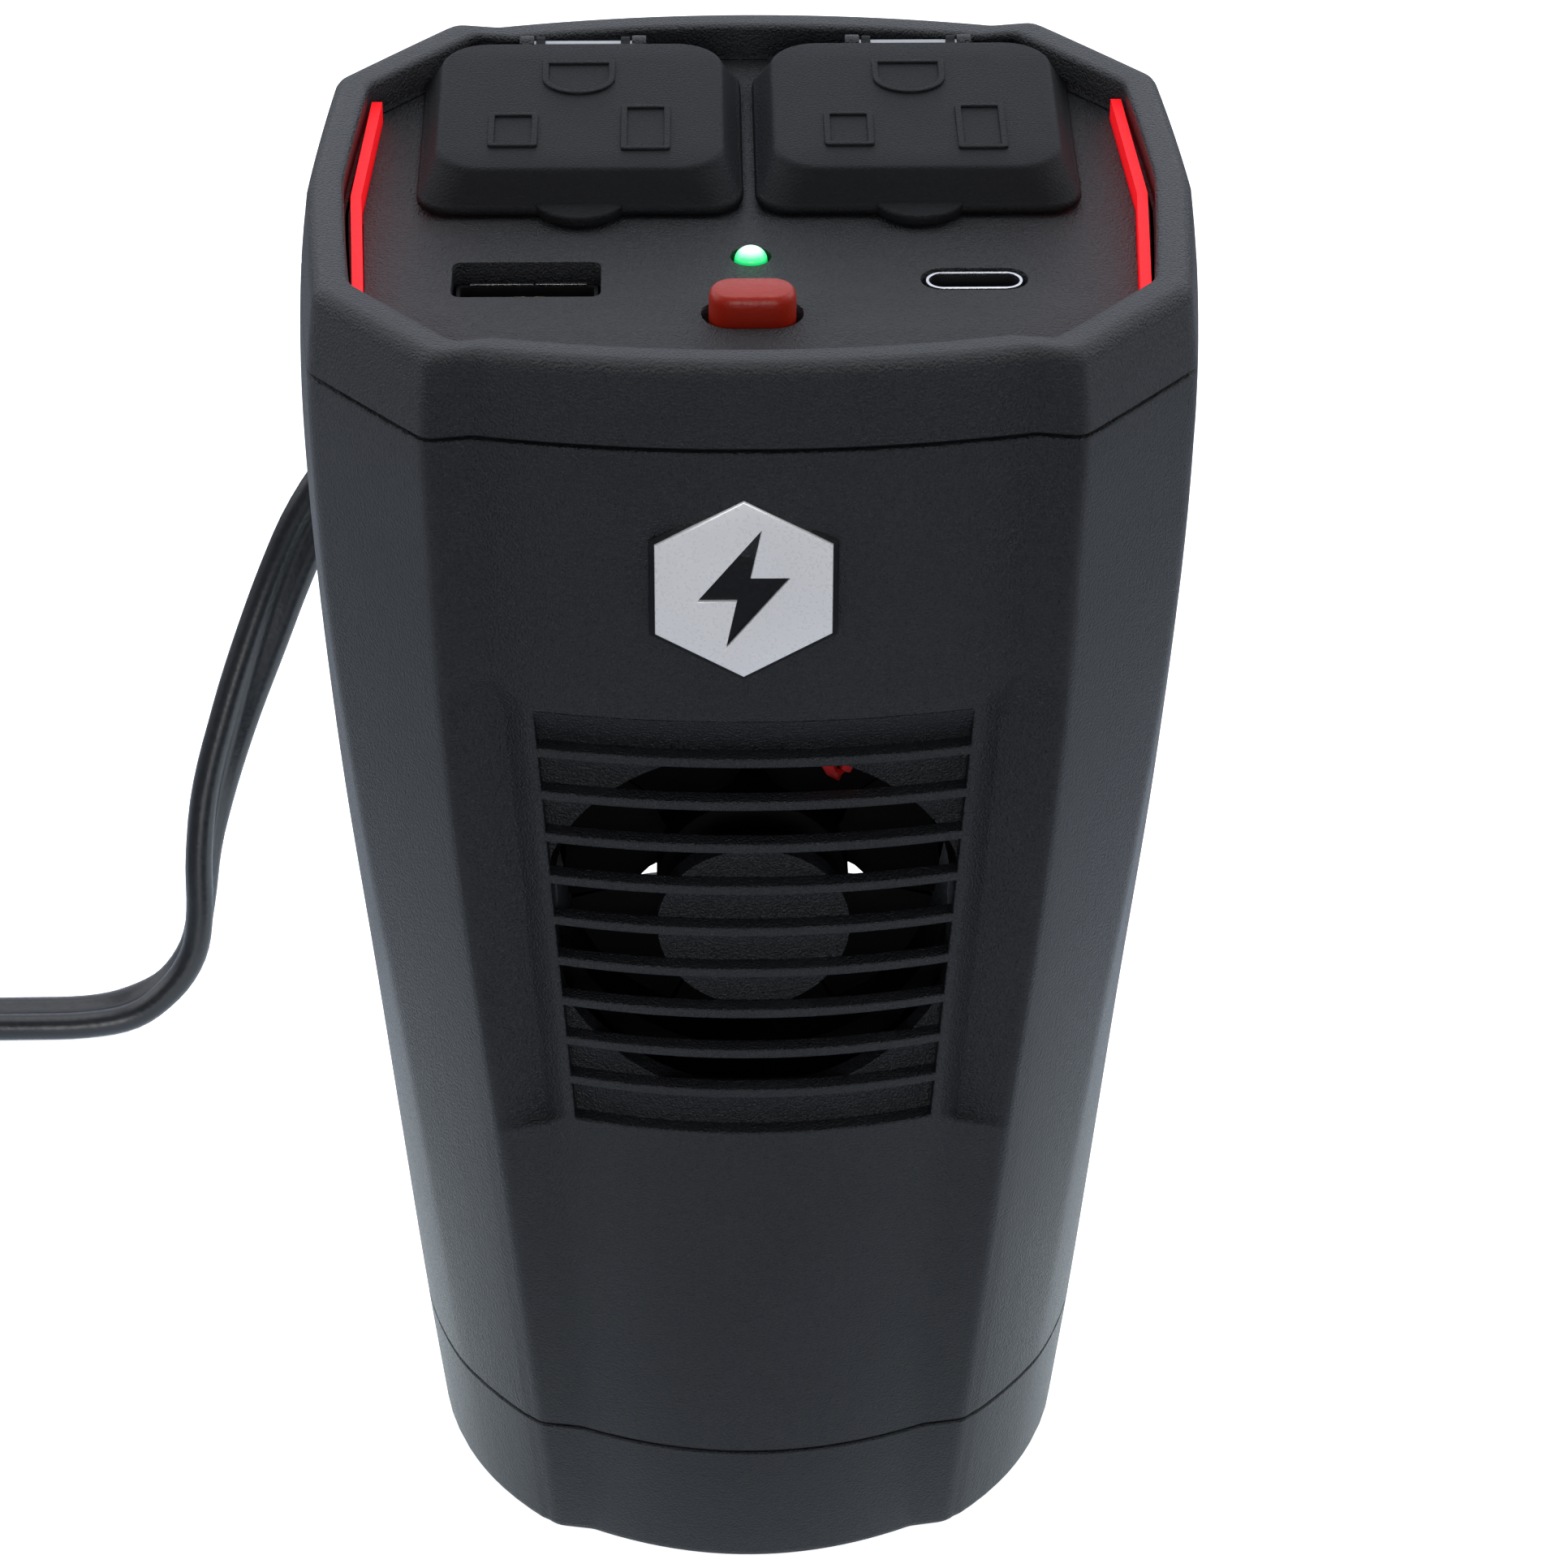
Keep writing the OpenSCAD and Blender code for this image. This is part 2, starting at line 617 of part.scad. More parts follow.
// Rings of a tube along points, with sides corners and radius r
function tube_rings(pts, r, sides) = [for (i = [0 : len(pts) - 1]) let (
    a = pts[max(i - 1, 0)], b = pts[min(i + 1, len(pts) - 1)],
    t = (b - a) / norm(b - a), ref = abs(t[2]) > 0.8 ? [1, 0, 0] : [0, 0, 1],
    u = cross(ref, t) / norm(cross(ref, t)), v = cross(t, u))
  [for (k = [0 : sides - 1]) pts[i] + r * (cos(-360 * k / sides) * u + sin(-360 * k / sides) * v)]];

// A point on the smooth curve through p1 and p2, with their neighbours p0 and p3
function eased(p0, p1, p2, p3, u) = 0.5 * (2 * p1 + (p2 - p0) * u
  + (2 * p0 - 5 * p1 + 4 * p2 - p3) * u * u + (3 * p1 - p0 - 3 * p2 + p3) * u * u * u);

// A smooth line through points, with n steps from each to the next
function smooth(p, n) = concat([for (i = [0 : len(p) - 2]) for (k = [0 : n - 1])
  eased(p[max(i - 1, 0)], p[i], p[i + 1], p[min(i + 2, len(p) - 1)], k / n)], [p[len(p) - 1]]);

// Routes of the fan's two wires: the red one loops in front of the fan's top edge
RED_WIRE = [[13, -16.4, 97], [12.5, -16, 104.5], [11.4, -20, 106], [10.8, -26.5, 104.2], [9.9, -29.3, 99.4],
  [8, -29.4, 95.4], [6, -29.3, 98.6], [4.2, -28.8, 103.8], [3.4, -25, 105.6], [3, -17, 108],
  [1.6, -12.5, 109]];
BLACK_WIRE = [[-13, -16.4, 97], [-12.8, -16, 101], [-11, -15.5, 105], [-7.5, -15, 107.5],
  [-4, -13.5, 108.6], [-1.6, -12.5, 109]];

module fan_wire_red() { color([0.75, 0.04, 0.04]) skin(tube_rings(smooth(RED_WIRE, 3), 0.65, 8)); }
module fan_wire_black() { color(BLACK) skin(tube_rings(smooth(BLACK_WIRE, 3), 0.65, 8)); }

// ---- boards and what they carry ----

module usb_board() {
  color(BOARD) box([-30, -27, board_top - board_t], [30, -2, board_top]);
}

module main_board() {
  color(BOARD) translate([-board_t / 2, 0, 0]) rotate([90, 0, 90]) linear_extrude(board_t)
    polygon([[-26, 20], [26, 20], [26, 112], [-14, 112], [-14, 57], [-26, 57]]);
}

module transformer_core() {
  color([0.16, 0.16, 0.17]) difference() {
    box([1, 7.5, 82], [21, 18.5, 108]);
    for (z = [85.5, 99]) box([4.5, 5, z], [17.5, 21, z + 5.5]);
  }
}

module transformer_winding() {
  color([0.85, 0.68, 0.2]) difference() {
    box([4.7, 2.6, 85.8], [17.3, 23.4, 104.2]);
    box([3, 7.3, 90.8], [19, 18.7, 99.2]);
  }
}

module high_voltage_capacitor() { color([0.1, 0.12, 0.2]) rod_x(14, 97, -26, -0.9, 8); }

module input_capacitors() { color([0.08, 0.1, 0.16]) for (y = [8, 20]) rod_x(y, 29, 0.9, 17, 5); }

module choke() {
  color([0.72, 0.36, 0.14]) translate([4.4, -13, 33]) rotate([0, 90, 0])
    rotate_extrude() translate([7.5, 0]) circle(3.2);
}

module heatsink() {
  color([0.7, 0.71, 0.73]) {
    box([-22, -20, 38], [-2, 20, 40]);
    for (y = [-20 : 6.5 : 19]) box([-22, y, 28], [-2, y + 1.4, 38.1]);
  }
}

module transistors() {
  color(BLACK) for (y = [-17, -6, 5, 14]) box([-17, y - 0.5, 40.05], [-2, y + 5, 44.5]);
}

module board_fuse() {
  color([0.1, 0.35, 0.75]) {
    box([-12, 15, 58], [-5, 18.6, 74]);
    for (z = [60, 70]) box([-5.1, 16, z], [-0.9, 17, z + 3]);
  }
}

// ---- fasteners ----

module cap_screws() {
  color(STEEL) for (x = [-1, 1], y = [-1, 1]) translate([x * cap_screw_at[0], y * cap_screw_at[1], 0]) {
    translate([0, 0, 124.2]) cylinder(h = 1.8, r = 2.2);
    translate([0, 0, 125.9]) cylinder(h = 8.6, r = 1.2);
  }
}

module case_screws() {
  color(STEEL) for (x = [-1, 1], p = case_screw_at) difference() {
    union() {
      rod_y(x * p[0], p[1], 8, 9.8, 2.3);
      rod_y(x * p[0], p[1], -11, 8.1, 1.2);
    }
    translate([x * p[0], 9, p[1]]) rotate([-90, 0, 0]) cylinder(h = 2, r = 1.2, $fn = 6);
  }
}

module base_screws() {
  color(STEEL) for (x = [-1, 1], y = [-1, 1]) difference() {
    translate([x * base_screw_at[0], y * base_screw_at[1], 0]) {
      translate([0, 0, 4.4]) cylinder(h = 1.6, r = 2.3);
      translate([0, 0, 5.9]) cylinder(h = 15, r = 1.2);
    }
    translate([x * base_screw_at[0], y * base_screw_at[1], 3]) cylinder(h = 2.2, r = 1.2, $fn = 6);
  }
}

// ---- lead and plug ----

// The boot that holds the lead in the rear shell
module strain_relief() {
  color(BLACK) translate([exit_x, 0, exit_z]) rotate([-90, 0, 0]) rotate_extrude()
    polygon([[0, 28.9], [5.4, 28.9], [5.4, 30.6], [4.1, 30.6], [4.1, 35.4], [6.2, 35.4], [6.2, 37.6],
      [5, boot_end - 2], [4.2, boot_end], [0, boot_end]]);
}

// The twin lead's section: two conductors side by side, as a flat ring of points
SECTION = [[1, 0], [0.8, 0.8], [0.4, 0.95], [-0.4, 0.95], [-0.8, 0.8],
  [-1, 0], [-0.8, -0.8], [-0.4, -0.95], [0.4, -0.95], [0.8, -0.8]];

// Rings of the flat lead along a route of places and width directions
function lead_rings(route) = [for (i = [0 : len(route) - 1]) let (
    a = route[max(i - 1, 0)][0], b = route[min(i + 1, len(route) - 1)][0],
    t = (b - a) / norm(b - a), w0 = route[i][1], w1 = w0 - (w0 * t) * t, w = w1 / norm(w1),
    v = cross(t, w))
  [for (s = SECTION) route[i][0] + s[0] * lead_w / 2 * w - s[1] * lead_t / 2 * v]];

module lead_tube() { color(BLACK) skin(lead_rings(ROUTE)); }
module lead_tail() { color(BLACK) skin(lead_rings(TAIL)); }

module lead_coil() {
  color(BLACK) translate([coil_at[0], coil_at[1], 0]) rotate_extrude($fn = 96)
    polygon([[coil_r - lead_w / 2 - 0.1, coil_z[0]], [coil_r + lead_w / 2 + 0.1, coil_z[0]],
      [coil_r + lead_w / 2 + 0.1, coil_z[1]], [coil_r - lead_w / 2 - 0.1, coil_z[1]]]);
}

// A thin tie round the coil, on the side away from the lead's ends
module coil_tie() {
  half = lead_w / 2 + 0.4;
  color([0.1, 0.1, 0.1]) translate([coil_at[0] + 0.7071 * coil_r, coil_at[1] - 0.7071 * coil_r, 0])
    rotate([0, 0, -45]) difference() {
      box([-half - 0.7, -2.5, 0.1], [half + 0.7, 2.5, coil_z[1] + 0.8]);
      box([-half, -3, coil_z[0] - 0.1], [half, 3, coil_z[1] + 0.1]);
    }
}

// Turns a profile of distance along the plug and radius into a solid along +X
module on_plug() { translate([plug_tail, plug_y, handle_r]) rotate([0, 90, 0]) children(); }

module plug_boot() {
  color(BLACK) on_plug() rotate_extrude()
    polygon([[0, 0], [4.2, 0], [5.2, 3], [7, 11.9], [0, 11.9]]);
}

module plug_handle() {
  color(BLACK) on_plug() rotate_extrude()
    polygon([[7, 10], [9.5, 10], [11.6, 12.5], [12.2, 20], [handle_r, 30], [handle_r, 38], [11.4, 41.9],
      [nose_r - 0.9, 41.9], [nose_r - 0.9, 28.5], [7.6, 25.5], [7.6, 12], [7, 12]]);
}

module plug_nose() {
  color(BLACK) difference() {
    on_plug() rotate_extrude() polygon([[0, 26], [7.4, 26], [nose_r - 1, 29.5], [nose_r - 1, 42],
      [nose_r, 42], [nose_r, 66], [8.4, 66], [8.4, 70], [6.6, 70], [6.6, 34], [3.6, 34], [3.6, 27], [0, 27]]);
    for (s = [-1, 1]) translate([plug_tail, plug_y, handle_r])
      box([52.1, min(s * 5, s * 12), -2.3], [59.9, max(s * 5, s * 12), 2.3]);
  }
}

module plug_ring() {
  color(BLACK) on_plug() rotate_extrude()
    polygon([[8.5, 66.2], [9.7, 66.2], [9.7, 71.5], [8.6, 74], [4.3, 74], [4.3, 71], [8.5, 71]]);
}

module plug_tip() {
  color(STEEL) on_plug() rotate_extrude()
    polygon([[0, 66.5], [5, 66.5], [6, 67.5], [6, 70.9], [4.2, 70.9], [4.2, 75], [3.6, 77.2], [2.2, 78.6],
      [0, 79]]);
}

module plug_fuse() {
  color([0.8, 0.82, 0.84]) on_plug() translate([0, 0, 36.5]) cylinder(h = 30, r = 3.1);
}

module plug_spring() {
  color(STEEL) on_plug() coil_spring(2.4, 0.35, 27, 36.45, 5);
}

// A side contact: a flat foot inside the nose and a bowed pad that stands out of its window
module plug_contact(side) {
  out = nose_r + 1.1;
  color(STEEL) translate([plug_tail, plug_y, handle_r]) linear_extrude(4, center = true)
    polygon([for (p = [[49, 5.4], [63, 5.4], [63, 6.1], [59.6, 6.1], [58.6, 9.6], [57.4, out], [54.6, out],
      [53.4, 9.6], [52.4, 6.1], [49, 6.1]]) [p[0], side * p[1]]]);
}

module plug_contact_front() { plug_contact(-1); }
module plug_contact_back() { plug_contact(1); }

front_shell();
rear_shell();
top_cap();
base_cap();
accent_strip_left();
accent_strip_right();
badge_plate();
status_led();
led_leads();
usb_a_shell();
usb_a_tongue();
usb_a_contacts();
usb_c_shell();
usb_c_tongue();
outlet_left();
outlet_right();
outlet_contacts_left();
outlet_contacts_right();
switch_body();
button_spring();
usb_board();
main_board();
transformer_core();
transformer_winding();
high_voltage_capacitor();
input_capacitors();
choke();
heatsink();
transistors();
board_fuse();
fan_frame();
fan_wire_red();
fan_wire_black();
cap_screws();
case_screws();
base_screws();
hinge_pin_left();
hinge_pin_right();
strain_relief();
power_button();
cover_left();
cover_right();
fan_rotor();
fan_shaft();
lead_tube();
lead_coil();
lead_tail();
coil_tie();
plug_boot();
plug_handle();
plug_nose();
plug_ring();
plug_spring();
plug_tip();
plug_fuse();
plug_contact_front();
plug_contact_back();
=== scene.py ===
"""Looks of a cup-holder power inverter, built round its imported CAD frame. Lengths here are millimetres."""
import math

import bmesh
import bpy
from mathutils import Matrix, Vector


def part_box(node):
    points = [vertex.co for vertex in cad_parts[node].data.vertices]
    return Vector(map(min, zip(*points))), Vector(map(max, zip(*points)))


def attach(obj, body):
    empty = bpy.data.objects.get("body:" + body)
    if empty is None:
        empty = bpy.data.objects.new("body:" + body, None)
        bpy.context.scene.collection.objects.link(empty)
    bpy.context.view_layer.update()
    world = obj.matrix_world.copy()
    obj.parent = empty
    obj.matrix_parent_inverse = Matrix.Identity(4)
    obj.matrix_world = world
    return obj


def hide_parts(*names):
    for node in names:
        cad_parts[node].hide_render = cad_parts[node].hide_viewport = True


MM = 0.001
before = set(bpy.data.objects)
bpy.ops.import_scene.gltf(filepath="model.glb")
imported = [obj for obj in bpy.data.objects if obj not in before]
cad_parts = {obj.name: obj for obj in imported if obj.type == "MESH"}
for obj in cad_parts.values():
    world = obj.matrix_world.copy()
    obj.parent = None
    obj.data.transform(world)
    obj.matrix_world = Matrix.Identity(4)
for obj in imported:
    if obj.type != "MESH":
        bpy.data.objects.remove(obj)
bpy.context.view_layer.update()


def node_box(node):
    """The lowest and highest corners of a CAD node, in millimetres."""
    low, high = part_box(node)
    return Vector(low) / MM, Vector(high) / MM


# ---- camera ----

CAMERA_AT = (-6.309, -444.784, 370.995)
CAMERA_DOWN = 33.659
CAMERA_YAW = 1.269
CAMERA_ROLL = 0.326
CAMERA_LENS = 121.75


def make_camera():
    down, yaw, roll = (math.radians(a) for a in (CAMERA_DOWN, CAMERA_YAW, CAMERA_ROLL))
    ahead = Vector((math.sin(yaw) * math.cos(down), math.cos(yaw) * math.cos(down), -math.sin(down)))
    right = Vector((math.cos(yaw), -math.sin(yaw), 0))
    up = right.cross(ahead)
    x_axis = right * math.cos(roll) + up * math.sin(roll)
    y_axis = up * math.cos(roll) - right * math.sin(roll)
    data = bpy.data.cameras.new("camera")
    data.lens = CAMERA_LENS
    data.sensor_width = 36
    data.clip_start = 0.01
    data.clip_end = 20
    camera = bpy.data.objects.new("camera", data)
    turn = Matrix((x_axis, y_axis, -ahead)).transposed().to_4x4()
    camera.matrix_world = Matrix.Translation(Vector(CAMERA_AT) * MM) @ turn
    bpy.context.collection.objects.link(camera)
    bpy.context.scene.camera = camera


# ---- mesh tools ----


def piece(name, parts, material, body="housing", bevel=0.0, smooth=35, replaces=()):
    """Makes one object from (points, faces) parts, in millimetres, and ties it to its CAD body."""
    bm = bmesh.new()
    for points, faces in parts:
        verts = [bm.verts.new(Vector(p) * MM) for p in points]
        for face in faces:
            corners = []
            for i in face:
                if verts[i] not in corners:
                    corners.append(verts[i])
            if len(corners) > 2:
                bm.faces.new(corners)
    bmesh.ops.recalc_face_normals(bm, faces=bm.faces)
    mesh = bpy.data.meshes.new(name)
    bm.to_mesh(mesh)
    bm.free()
    mesh.shade_smooth()
    obj = bpy.data.objects.new(name, mesh)
    bpy.context.collection.objects.link(obj)
    mesh.materials.append(material)
    if bevel:
        rounding = obj.modifiers.new("rounded_edges", "BEVEL")
        rounding.width = bevel * MM
        rounding.segments = 2
        rounding.limit_method = "ANGLE"
        rounding.angle_limit = math.radians(smooth)
        rounding.harden_normals = True
        rounding.miter_outer = "MITER_ARC"
    else:
        mesh.set_sharp_from_angle(angle=math.radians(smooth))
    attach(obj, body)
    if replaces:
        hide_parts(*replaces)
    return obj


def loft(rings, loop=False):
    """A solid through rings of equally many points; loop joins the last ring to the first."""
    n = len(rings[0])
    points = [p for ring in rings for p in ring]
    last = len(rings) if loop else len(rings) - 1
    faces = []
    for k in range(last):
        a, b = k * n, (k + 1) % len(rings) * n
        faces += [(a + i, a + (i + 1) % n, b + (i + 1) % n, b + i) for i in range(n)]
    if not loop:
        faces += [tuple(range(n)), tuple(last * n + i for i in range(n))]
    return points, faces


def grid_solid(outer, inner, keep=None):
    """A closed sheet between two grids of points; keep(row, column) leaves cells out as openings."""
    rows, cols = len(outer), len(outer[0])
    points = [p for row in outer for p in row] + [p for row in inner for p in row]
    back = rows * cols
    kept = [(r, c) for r in range(rows - 1) for c in range(cols - 1) if keep is None or keep(r, c)]
    faces, rims = [], {}
    for r, c in kept:
        q = (r * cols + c, r * cols + c + 1, (r + 1) * cols + c + 1, (r + 1) * cols + c)
        faces += [q, tuple(back + i for i in reversed(q))]
        for i in range(4):
            a, b = q[i], q[(i + 1) % 4]
            if (b, a) in rims:
                del rims[(b, a)]
            else:
                rims[(a, b)] = True
    faces += [(b, a, back + a, back + b) for a, b in rims]
    return points, faces


def lathe(profile, origin, axis, steps=48):
    """Turns (distance along the axis, radius) points into a closed solid of revolution."""
    axis = Vector(axis).normalized()
    side = axis.orthogonal().normalized()
    other = axis.cross(side)
    rings = []
    for k in range(steps):
        a = 2 * math.pi * k / steps
        out = side * math.cos(a) + other * math.sin(a)
        rings.append([Vector(origin) + axis * s + out * max(r, 0.001) for s, r in profile])
    return loft(rings, loop=True)


def flat_plate(outlines, z0, z1, edge):
    """A plate with rounded edges: the first outline is its border, the others are holes."""
    data = bpy.data.curves.new("plate", "CURVE")
    data.dimensions = "2D"
    data.fill_mode = "BOTH"
    data.extrude = ((z1 - z0) / 2 - edge) * MM
    data.bevel_depth = edge * MM
    data.bevel_resolution = 2
    data.offset = -edge * MM
    for outline in outlines:
        spline = data.splines.new("POLY")
        spline.points.add(len(outline) - 1)
        spline.use_cyclic_u = True
        for point, (x, y) in zip(spline.points, outline):
            point.co = (x * MM, y * MM, 0, 1)
    holder = bpy.data.objects.new("plate", data)
    bpy.context.collection.objects.link(holder)
    mesh = bpy.data.meshes.new_from_object(holder.evaluated_get(bpy.context.evaluated_depsgraph_get()))
    bm = bmesh.new()
    bm.from_mesh(mesh)
    bmesh.ops.remove_doubles(bm, verts=bm.verts, dist=0.002 * MM)
    middle = (z0 + z1) / 2
    bm.verts.index_update()
    points = [Vector(v.co) / MM + Vector((0, 0, middle)) for v in bm.verts]
    faces = [tuple(v.index for v in f.verts) for f in bm.faces]
    bm.free()
    bpy.data.objects.remove(holder)
    bpy.data.meshes.remove(mesh)
    bpy.data.curves.remove(data)
    return points, faces


def moved(part, matrix):
    points, faces = part
    return [matrix @ Vector(p) for p in points], faces


def rounded_rectangle(w, d, r, cx=0.0, cy=0.0, steps=6):
    points = []
    for sx, sy, start in ((1, 1, 0), (-1, 1, 90), (-1, -1, 180), (1, -1, 270)):
        for k in range(steps + 1):
            a = math.radians(start + 90 * k / steps)
            points.append((cx + sx * (w / 2 - r) + r * math.cos(a), cy + sy * (d / 2 - r) + r * math.sin(a)))
    return points


def circle_outline(r, cx=0.0, cy=0.0, steps=32):
    turns = (2 * math.pi * k / steps for k in range(steps))
    return [(cx + r * math.cos(a), cy + r * math.sin(a)) for a in turns]


def prism_x(profile, x0, x1):
    """A solid between two copies of a (y, z) profile."""
    return loft([[(x, y, z) for y, z in profile] for x in (x0, x1)])


# ---- the can's outline ----

# Height, half width at the side ridge, rear corner of the side (x, y), ridge beside the front (x, y),
# valley beside the front (x, y), half depth at the middle, and how round the facets are
SECTIONS = (
    (0, 32.5, 28.0, 18.6, 20.5, 27.3, 16.6, 28.0, 32.2, 1),
    (15.5, 34.4, 29.8, 19.3, 21.8, 29.0, 17.5, 29.7, 33.8, 0.85),
    (56, 38.5, 34.2, 20.6, 25.2, 31.0, 20.5, 31.2, 34.9, 0.5),
    (81, 41.0, 37.2, 21.2, 27.4, 32.3, 22.7, 32.2, 35.5, 0.3),
    (107, 42.6, 39.7, 21.8, 29.0, 33.5, 24.6, 33.1, 36.1, 0.15),
    (122, 42.9, 40.4, 22.3, 29.3, 34.3, 25.1, 33.7, 36.6, 0.1),
    (134.7, 42.3, 40.5, 22.5, 29.5, 34.8, 25.3, 34.1, 36.9, 0.1),
    (143, 41.3, 39.7, 22.0, 29.0, 34.1, 24.8, 33.4, 36.1, 0.1),
)
SIDE_BULGE = 1.4
DIAGONAL_BULGE = 0.5
WALL = 2.0
SEAM = 0.15
CAP_SEAM = node_box("front_shell")[1].z + SEAM
BASE_SEAM = node_box("base_cap")[1].z + SEAM
RIM_TOP = node_box("cap_screws")[1].z + 8.5
RIM_WIDTH = 3.4
PANEL_Z = node_box("accent_strip_left")[1].z - 1.8
PANEL_UNDER = PANEL_Z - 2.4


def section(z):
    """The can's measures at a height, eased between SECTIONS."""
    k = max(i for i in range(len(SECTIONS) - 1) if z >= SECTIONS[i][0] or i == 0)
    slope = lambda i, j: (SECTIONS[i + 1][j] - SECTIONS[i][j]) / (SECTIONS[i + 1][0] - SECTIONS[i][0])
    span = SECTIONS[k + 1][0] - SECTIONS[k][0]
    u = min(max((z - SECTIONS[k][0]) / span, 0), 1)
    values = []
    for j in range(1, 10):
        p, q = SECTIONS[k][j], SECTIONS[k + 1][j]
        m0 = (slope(k - 1, j) + slope(k, j)) / 2 if k else slope(k, j)
        m1 = (slope(k, j) + slope(k + 1, j)) / 2 if k + 2 < len(SECTIONS) else slope(k, j)
        values.append(
            (2 * u**3 - 3 * u**2 + 1) * p + (u**3 - 2 * u**2 + u) * span * m0
            + (3 * u**2 - 2 * u**3) * q + (u**3 - u**2) * span * m1)
    return values


GRILLE_TOP = 105.5
GRILLE_BOTTOM = 57.3
GRILLE_HALF = (17.3, 20.35)
VENT_HALF = 13.0
FOLD_DEPTH = 1.1
LEDGE = 0.6
LEDGE_Z = 57.7
CREASE = 0.35
# Heights where the fold beside the grille starts and where it reaches full depth
FOLD_TOP = 108.9
FOLD_FULL = 103.8
ARC_COLUMNS = 10
RIDGE_COLUMNS = 14


def grille_half(z):
    u = (z - GRILLE_BOTTOM) / (GRILLE_TOP - GRILLE_BOTTOM)
    return GRILLE_HALF[0] + (GRILLE_HALF[1] - GRILLE_HALF[0]) * u


def mix(a, b, u):
    return a + (b - a) * min(max(u, 0), 1)


def front_y(x, z):
    """Where the bowed front panel lies, without the folds beside the grille."""
    ix, iy, m = section(z)[5:8]
    return -(m - (m - iy) * (x / ix) ** 2)


def valley_x(z, folded):
    ix = section(z)[5]
    if not folded or z < LEDGE_Z - 3.6:
        return ix
    fold = mix(20.4, 23.3, (z - LEDGE_Z) / (FOLD_FULL - LEDGE_Z))
    return mix(fold, ix, (z - FOLD_FULL) / (FOLD_TOP - FOLD_FULL))


def corner(before, point, after, reach, steps=4):
    """A short curve in place of a corner."""
    before, point, after = Vector(before), Vector(point), Vector(after)
    a = point + (before - point).normalized() * reach
    b = point + (after - point).normalized() * reach
    return [a.lerp(point, u).lerp(point.lerp(b, u), u) for u in (k / steps for k in range(steps + 1))]


def bowed(p, q, bulge, shares):
    """Points between p and q on a line bowed outwards."""
    p, q = Vector(p), Vector(q)
    d = q - p
    side = Vector((d.y, -d.x)).normalized()
    return [p + d * u + side * bulge * 4 * u * (1 - u) for u in shares]


def quarter(z, split, folded):
    """The front right quarter's columns at a height: points, and where each is in the fold (part, t)."""
    s, bx, by, ax, ay, _, _, _, bulge = section(z)
    ridge, side_corner, side = (ax, -ay), (bx, -by), (s, -SEAM)
    vx = valley_x(z, folded)
    valley = (vx, front_y(vx, z))
    jx = split + 0.9
    points = [Vector((x, front_y(x, z))) for x in (split * i / ARC_COLUMNS for i in range(ARC_COLUMNS))]
    where = [("front", 0)] * ARC_COLUMNS
    points += [Vector((split, front_y(split, z))), Vector((jx, front_y(jx, z)))]
    where += [("front", 0), ("inside", 1)]
    for u in (0.35, 0.7):
        x = jx + (vx - 0.5 - jx) * u
        points.append(Vector((x, front_y(x, z))))
        where.append(("inside", 1 - u * (vx - 0.5 - jx) / (vx - jx)))
    near = (vx - 1, front_y(vx - 1, z))
    points += corner(near, valley, ridge, 0.5)
    where += [("inside", t) for t in (0.15, 0.05)] + [("inside", 0), ("outside", 0.05), ("outside", 0.12)]
    inset = bowed(valley, ridge, 0, (0.3, 0.5, 0.7))
    points += inset
    where += [("outside", t) for t in (0.3, 0.5, 0.7)]
    diagonal = bowed(ridge, side_corner, DIAGONAL_BULGE * bulge, (0.15, 0.3, 0.5, 0.7, 0.85))
    flank = bowed(side_corner, side, SIDE_BULGE * bulge, (0.1, 0.2, 0.35, 0.5, 0.65, 0.8, 0.92))
    points += corner(valley, ridge, side_corner, 0.9)
    where += [("outside", t) for t in (0.85, 0.93, 1, 1, 1)]
    points += diagonal
    points += corner(diagonal[-1], side_corner, flank[0], 1.0)
    points += flank + [Vector(side)]
    where += [("outside", 1)] * (len(points) - len(where))
    return points, where


def fold_edge(part, t):
    """Heights where the fold beside the grille starts, reaches full depth, and ends in its ledge."""
    if part == "inside":
        return FOLD_TOP - 2.15 * t, FOLD_FULL + 2.8 * t, LEDGE_Z - 1.4 * (1 - t)
    return FOLD_TOP - 1.1 * t, FOLD_FULL + 3.8 * t, LEDGE_Z - 1.4 - 1.3 * t


def warped(z, part, t):
    """Moves a row of points so that it follows the fold's edges."""
    if part == "front":
        return z
    top, full, ledge = fold_edge(part, t)
    near = min(CREASE, (top - full) / 3)
    stops = ((0, 0), (53, 53), (LEDGE_Z - LEDGE, ledge - LEDGE), (LEDGE_Z, ledge),
             (LEDGE_Z + 0.4, ledge + 0.4), (64, 64), (99, 99), (FOLD_FULL - CREASE, full - CREASE),
             (FOLD_FULL, full), (FOLD_FULL + CREASE, full + near), (FOLD_TOP - CREASE, top - near),
             (FOLD_TOP, top), (FOLD_TOP + CREASE, top + CREASE), (112, 112), (150, 150))
    for (a, b), (c, d) in zip(stops, stops[1:]):
        if z <= c:
            return b + (d - b) * (z - a) / (c - a)
    return z


def fold_depth(z, part, t):
    if part == "front":
        return 0
    top, full, ledge = fold_edge(part, t)
    rise = min(max((z - ledge + LEDGE) / LEDGE, 0), 1)
    fall = min(max((top - z) / (top - full), 0), 1)
    return FOLD_DEPTH * (1 - t) * rise**2 * (3 - 2 * rise) * fall


